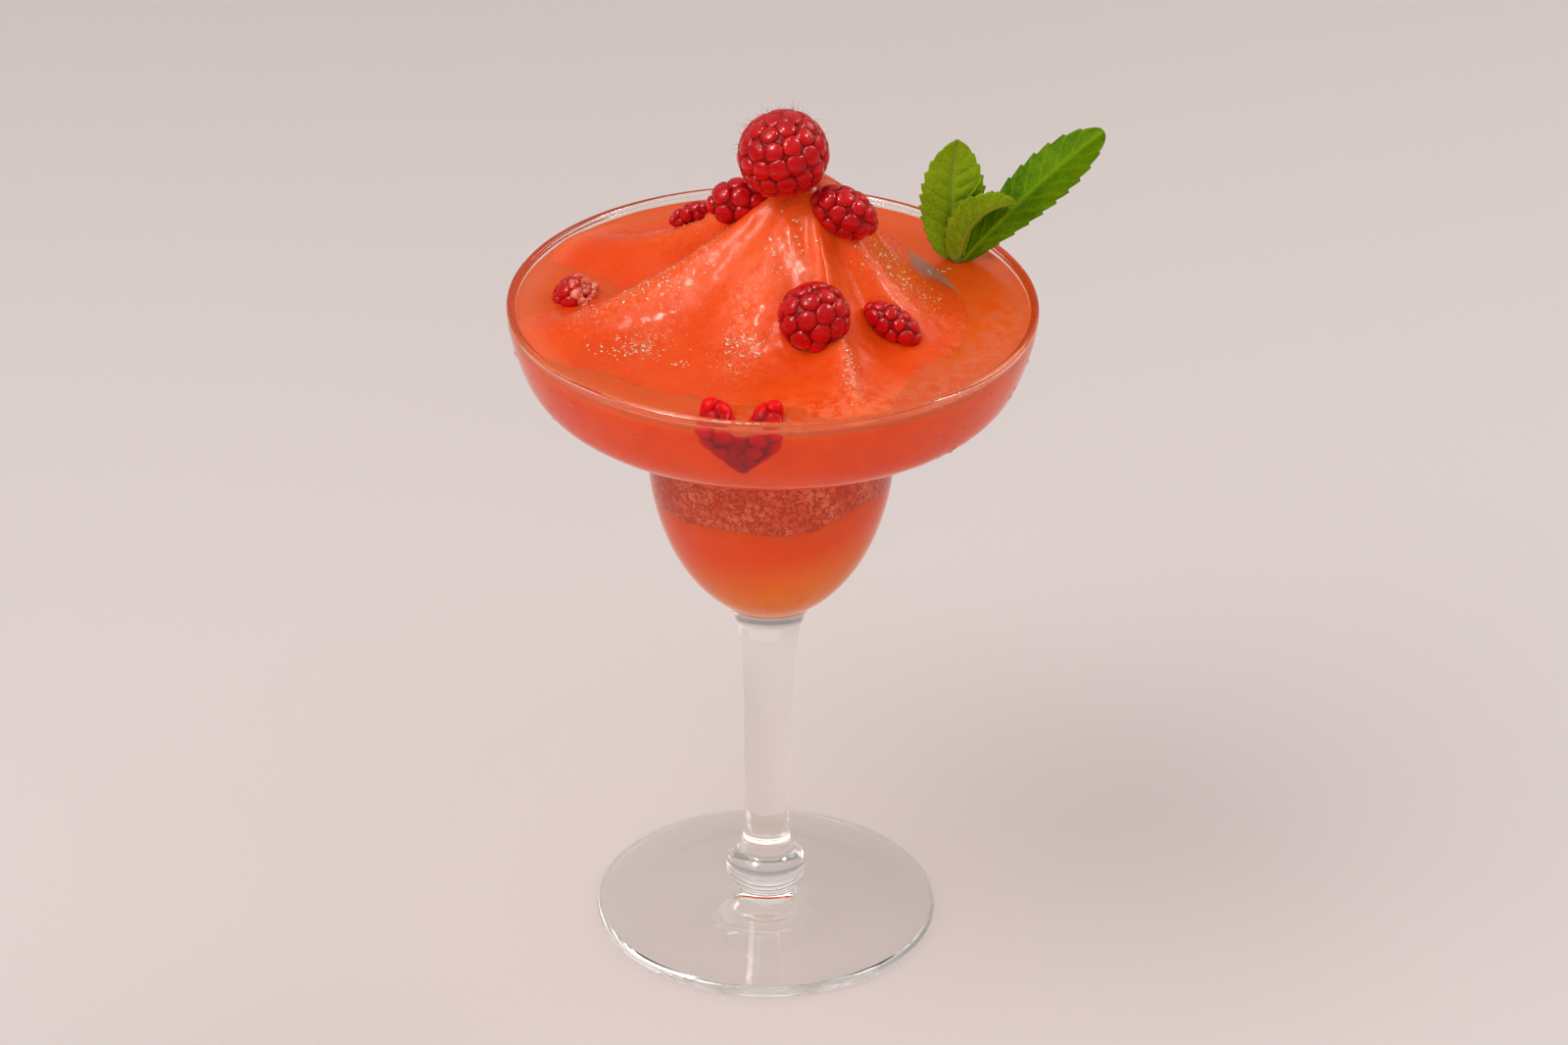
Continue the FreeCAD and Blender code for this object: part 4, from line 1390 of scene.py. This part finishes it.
@dataclass
class MintSprig:
    """The sprig: a short stem that stands in the drink, and its upright, long, folded and narrow leaves."""

    foot: Point = (38.2, 22.4, 141.0)
    head: Point = (40.0, 24.9, 151.9)
    stem_radius: float = 1.25
    thickness: float = 0.42
    blade_steps: tuple[int, int] = (133, 31)
    # Each leaf's seventh value is its painted light share: the leaves that face the light are painted a
    # lighter green.
    upright: MintLeaf = MintLeaf(
        (-1.2, 0.8, -0.6), (0.8, 3.6, 26.7), (-0.6, 0.8, 0.0), (1, 0.10, 0.05), 7.2, 10.0, 1.0, belly=1.05
    )
    long: MintLeaf = MintLeaf(
        (1.2, -0.2, -0.6), (29.6, 0.4, 31.3), (-0.4, 0.0, 1.2), (-0.64, 0.3, 0.64), 5.9, 22.0, 0.0, belly=1.35
    )
    folded: MintLeaf = MintLeaf(
        (0.5, -1.2, -0.6), (12.0, -3.2, 15.9), (-2.6, 0.0, 3.0), (0.6, 0.45, -0.6), 5.2, -42.0, 0.2
    )
    narrow: MintLeaf = MintLeaf(
        (0.3, 0.2, -0.4), (4.6, -0.6, 19.3), (-1.6, 0.0, 0.0), (0.9, 0.4, -0.1), 1.9, 30.0, 1.0
    )

    def build(self) -> None:
        """Make the leaves and the stem."""
        bm = bmesh.new()
        for leaf in (self.upright, self.long, self.folded, self.narrow):
            leaf.add_to(bm, Vector(self.head), *self.blade_steps)
        under = MintBlade(
            "mint underside", (0.27, 0.43, 0.002), (0.17, 0.31, 0.002), (0.46, 0.56, 0.10), 0.5, 0.5
        )
        leaves = finished("mint_leaves", bm, Slot.MINT, MintBlade(), under, nodes=("mint_sprig",))
        shell = leaves.modifiers.new("thickness", "SOLIDIFY")
        shell.thickness = self.thickness * MM
        shell.offset = 0.0
        shell.material_offset = 1
        shell.material_offset_rim = 0
        self.stem()

    def stem(self) -> None:
        """Make the square stem with its soft edges and the node at its head."""
        bm = bmesh.new()
        for name in ("vein", "age"):
            layer(bm, name)
        foot, head = Vector(self.foot), Vector(self.head)
        turn = UP.rotation_difference(head - foot).to_matrix().to_4x4()
        bmesh.ops.create_cone(
            bm, cap_ends=True, segments=4, radius1=self.stem_radius, radius2=self.stem_radius * 0.9,
            depth=(head - foot).length, matrix=Matrix.Translation((foot + head) / 2) @ turn,
        )
        bmesh.ops.bevel(
            bm, geom=list(bm.edges), offset=self.stem_radius * 0.3, affect="EDGES", segments=4, profile=0.5,
            material=-1,
        )
        ball(bm, self.stem_radius * 1.2, place=Matrix.Translation(head))
        finished("mint_stem", bm, Slot.MINT, MintBlade("mint stem", (0.24, 0.30, 0.05), (0.16, 0.14, 0.03)))


# ---------------------------------------------------------------------------- small trim
@dataclass
class Condensation:
    """Beads of water on the outside of the wide bowl."""

    vessel: StemGlass
    count: int = 46
    spread: float = 16.0
    heights: Pair = (131.0, 149.0)
    sizes: Pair = (0.25, 0.62)
    sides: Pair = (196.0, -28.0)
    flatness: float = 0.45

    def build(self) -> None:
        """Make the beads, most of them at the bowl's two sides."""
        bm = bmesh.new()
        source = random.Random("beads")
        run = self.vessel.bowl_outside()
        for i in range(self.count):
            side = self.sides[i % 2]
            azimuth = radians(source.gauss(side, self.spread) if i % 5 else source.uniform(0, 360))
            height = source.uniform(*self.heights)
            radius = radius_at(run, height)
            slope = -(radius_at(run, height + 0.5) - radius) / 0.5
            normal = Vector((cos(azimuth), sin(azimuth), slope)).normalized()
            size = source.uniform(*self.sizes)
            turn = UP.rotation_difference(normal)
            foot = Vector((radius * cos(azimuth), radius * sin(azimuth), height))
            centre = foot + normal * size * 0.12
            for vert in ball(bm, size):
                vert.co = centre + turn @ Vector((vert.co.x, vert.co.y, vert.co.z * self.flatness))
        finished("condensed_beads", bm, Slot.GLASS, WaterDrop())


@dataclass(frozen=True)
class WetPatch:
    """A patch of wet ice flakes: its middle in plan, its spread and how many it holds."""

    middle: Pair
    spread: Pair
    count: int


@dataclass
class LooseIce:
    """Loose ice grains that glint on the slush's crests, and wet flakes in a few shining patches."""

    heap: FrozenHeap
    grain_count: int = 800
    grain_sizes: Pair = (0.08, 0.20)
    flake_sizes: Pair = (0.11, 0.27)
    slope_step: float = 0.4
    wet_patches: tuple[WetPatch, ...] = (
        WetPatch((-6.2, -25.0), (4.0, 4.4), 48),
        WetPatch((-29.5, -21.0), (6.4, 3.4), 52),
        WetPatch((24.0, -1.0), (6.5, 6.0), 50),
        WetPatch((-19.8, -28.0), (3.2, 0.8), 8),
        WetPatch((16.0, -34.0), (1.4, 7.0), 24),
        WetPatch((35.0, 20.0), (2.4, 1.5), 10),
        WetPatch((3.0, -8.0), (4.0, 5.0), 40),
        WetPatch((-24.0, -6.0), (9.0, 3.0), 40),
    )

    def build(self) -> None:
        """Make the grains and the flakes."""
        self.grains()
        self.flakes()

    def grains(self) -> None:
        """Make the grains, thickest where the slush is frosted."""
        bm = bmesh.new()
        source = random.Random("grains")
        placed_grains = 0
        while placed_grains < self.grain_count:
            x, y = source.uniform(-52, 50), source.uniform(-50, 46)
            patchy = 0.5 + 0.9 * uneven(Vector((x, y, 0.0)), 4.0, 7.7)
            if source.random() > self.heap.frosted(x, y) * patchy:
                continue
            placed_grains += 1
            height = self.heap.surface(x, y)
            if height < self.heap.level + 0.3:
                continue
            size = source.uniform(*self.grain_sizes)
            ball(bm, size, 1, Matrix.Translation((x, y, height + size * 0.15)))
        finished("ice_grains", bm, Slot.SLUSH, WetIce())

    def top(self, x: float, y: float) -> float:
        """Return the height of the slush or the pool, whichever shows."""
        return max(self.heap.surface(x, y), self.heap.pool_top(x, y))

    def flakes(self) -> None:
        """Make the wet flakes of ice that lie flat."""
        bm = bmesh.new()
        source = random.Random("wet flakes")
        for patch in self.wet_patches:
            for _ in range(patch.count):
                x, y = (source.gauss(patch.middle[k], patch.spread[k] * 0.6) for k in (0, 1))
                height = self.top(x, y)
                drop = height - self.top(x, y - self.slope_step)
                tilt = Matrix.Rotation(atan2(drop, self.slope_step), 4, "X")
                turn = Matrix.Rotation(source.uniform(0, pi), 4, "Z")
                size = source.uniform(*self.flake_sizes)
                shape = Matrix.Diagonal((size * source.uniform(1.0, 2.6), size, size * 0.45, 1))
                ball(bm, 1.0, 2, Matrix.Translation((x, y, height + size * 0.12)) @ tilt @ turn @ shape)
        finish = WetIce("wet ice flakes", (1.0, 0.40, 0.22), (1.0, 0.70, 0.52))
        finished("wet_flakes", bm, Slot.SLUSH, finish)


# ------------------------------------------------------------------------------ the room
@dataclass(frozen=True)
class PaleFloor(Finish):
    """A plain pale floor that darkens towards the back."""

    name: str = "pale floor"
    near: Colour = (0.745, 0.676, 0.660)
    far: Colour = (0.560, 0.500, 0.480)
    fade: Pair = (0.10, 1.30)

    def paint(self, w: Surface) -> None:
        """Wire the shader."""
        darker = tuple(value * 0.97 for value in self.near)
        colour = w.blend(w.grain(3.0, 2.0), self.near, darker)
        w.lay(w.blend(w.ramp(w.y, *self.fade), colour, self.far), 0.6)


@dataclass(frozen=True)
class Lamp:
    """A soft square lamp that faces the drink, in metres and watts."""

    name: str
    place: Point
    size: float
    power: float
    in_highlights: bool = True
    in_diffuse: bool = True
    aim: Point = (0.0, 0.0, 0.12)

    def hang(self) -> None:
        """Hang the lamp."""
        light = bpy.data.lights.new(self.name, "AREA")
        light.shape = "SQUARE"
        light.size = self.size
        light.energy = self.power
        light.color = (1.0, 0.97, 0.94)
        lamp = bpy.data.objects.new(self.name, light)
        lamp.location = self.place
        lamp.rotation_euler = (Vector(self.aim) - Vector(self.place)).to_track_quat("-Z", "Y").to_euler()
        lamp.visible_glossy = self.in_highlights
        lamp.visible_diffuse = self.in_diffuse
        bpy.context.scene.collection.objects.link(lamp)


@dataclass
class Studio:
    """A plain pale floor, soft light and the camera, in metres."""

    floor_size: float = 6.0
    floor_height: float = -0.0003
    lamps: tuple[Lamp, ...] = (
        Lamp("window_left", (-0.70, -0.35, 1.15), 0.9, 7.0),
        Lamp("window_right", (0.85, 0.60, 0.85), 0.6, 3.3),
        Lamp("front_fill", (0.10, -1.45, 0.45), 0.9, 5.0, in_highlights=False),
        Lamp("glints_above", (-0.15, -0.05, 1.30), 0.22, 4.0, in_diffuse=False),
        Lamp("glints_left", (-0.60, -0.45, 1.10), 0.30, 7.0, in_diffuse=False),
        Lamp("glints_right", (0.75, 0.10, 1.00), 0.22, 4.0, in_diffuse=False),
    )
    surround: Colour = (0.97, 0.95, 0.94)
    surround_strength: Pair = (0.32, 0.75)
    lens: float = 131.87
    camera_place: Point = (0.0, -1.0983, 0.7066)
    pitch: float = 28.94
    yaw: float = 0.156
    roll: float = 0.75
    view_gamma: float = 0.87
    bounces: int = 20

    def floor(self) -> None:
        """Make the floor, just under the foot."""
        bm = bmesh.new()
        bmesh.ops.create_grid(bm, x_segments=2, y_segments=2, size=self.floor_size / 2)
        bmesh.ops.translate(bm, verts=bm.verts, vec=(0, 0, self.floor_height))
        plane = placed("pale_floor", bm)
        plane.data.materials.append(PaleFloor().material())

    def light(self) -> None:
        """Hang the lamps and set the pale surround, brighter above."""
        for lamp in self.lamps:
            lamp.hang()
        world = bpy.data.worlds.new("pale surround")
        world.use_nodes = True
        w = Wiring(world.node_tree)
        background = world.node_tree.nodes["Background"]
        rise = w.split(w.add("TexCoord").outputs["Generated"])[2]
        w.link(w.ramp(rise, -0.05, 0.9, *self.surround_strength), background.inputs["Strength"])
        w.link(self.surround, background.inputs["Color"])
        bpy.context.scene.world = world

    def camera(self) -> None:
        """Set up the camera."""
        data = bpy.data.cameras.new("camera")
        data.lens = self.lens
        data.sensor_width = 36.0
        data.clip_start = 0.05
        camera = bpy.data.objects.new("camera", data)
        yaw, tilt, roll = (
            Matrix.Rotation(radians(angle), 3, axis)
            for angle, axis in ((-self.yaw, "Z"), (90 - self.pitch, "X"), (self.roll, "Z"))
        )
        camera.rotation_euler = (yaw @ tilt @ roll).to_euler()
        camera.location = self.camera_place
        bpy.context.scene.collection.objects.link(camera)
        bpy.context.scene.camera = camera

    def build(self) -> None:
        """Make the floor, light and camera."""
        self.floor()
        self.light()
        self.camera()
        paths = bpy.context.scene.cycles
        paths.max_bounces = paths.glossy_bounces = paths.transmission_bounces = self.bounces
        view = bpy.context.scene.view_settings
        view.view_transform = "Standard"
        view.gamma = self.view_gamma


def main() -> None:
    """Build every piece in order."""
    logging.basicConfig(level=logging.INFO, format="%(message)s")
    vessel = StemGlass()
    heap = FrozenHeap(vessel)
    drink = vessel, LowerCup(vessel), heap, LooseIce(heap), Berries(vessel), MintSprig(), Condensation(vessel)
    for assembly in (*drink, Studio()):
        LOG.info("building %s", type(assembly).__name__)
        assembly.build()


if __name__ == "__main__":
    main()
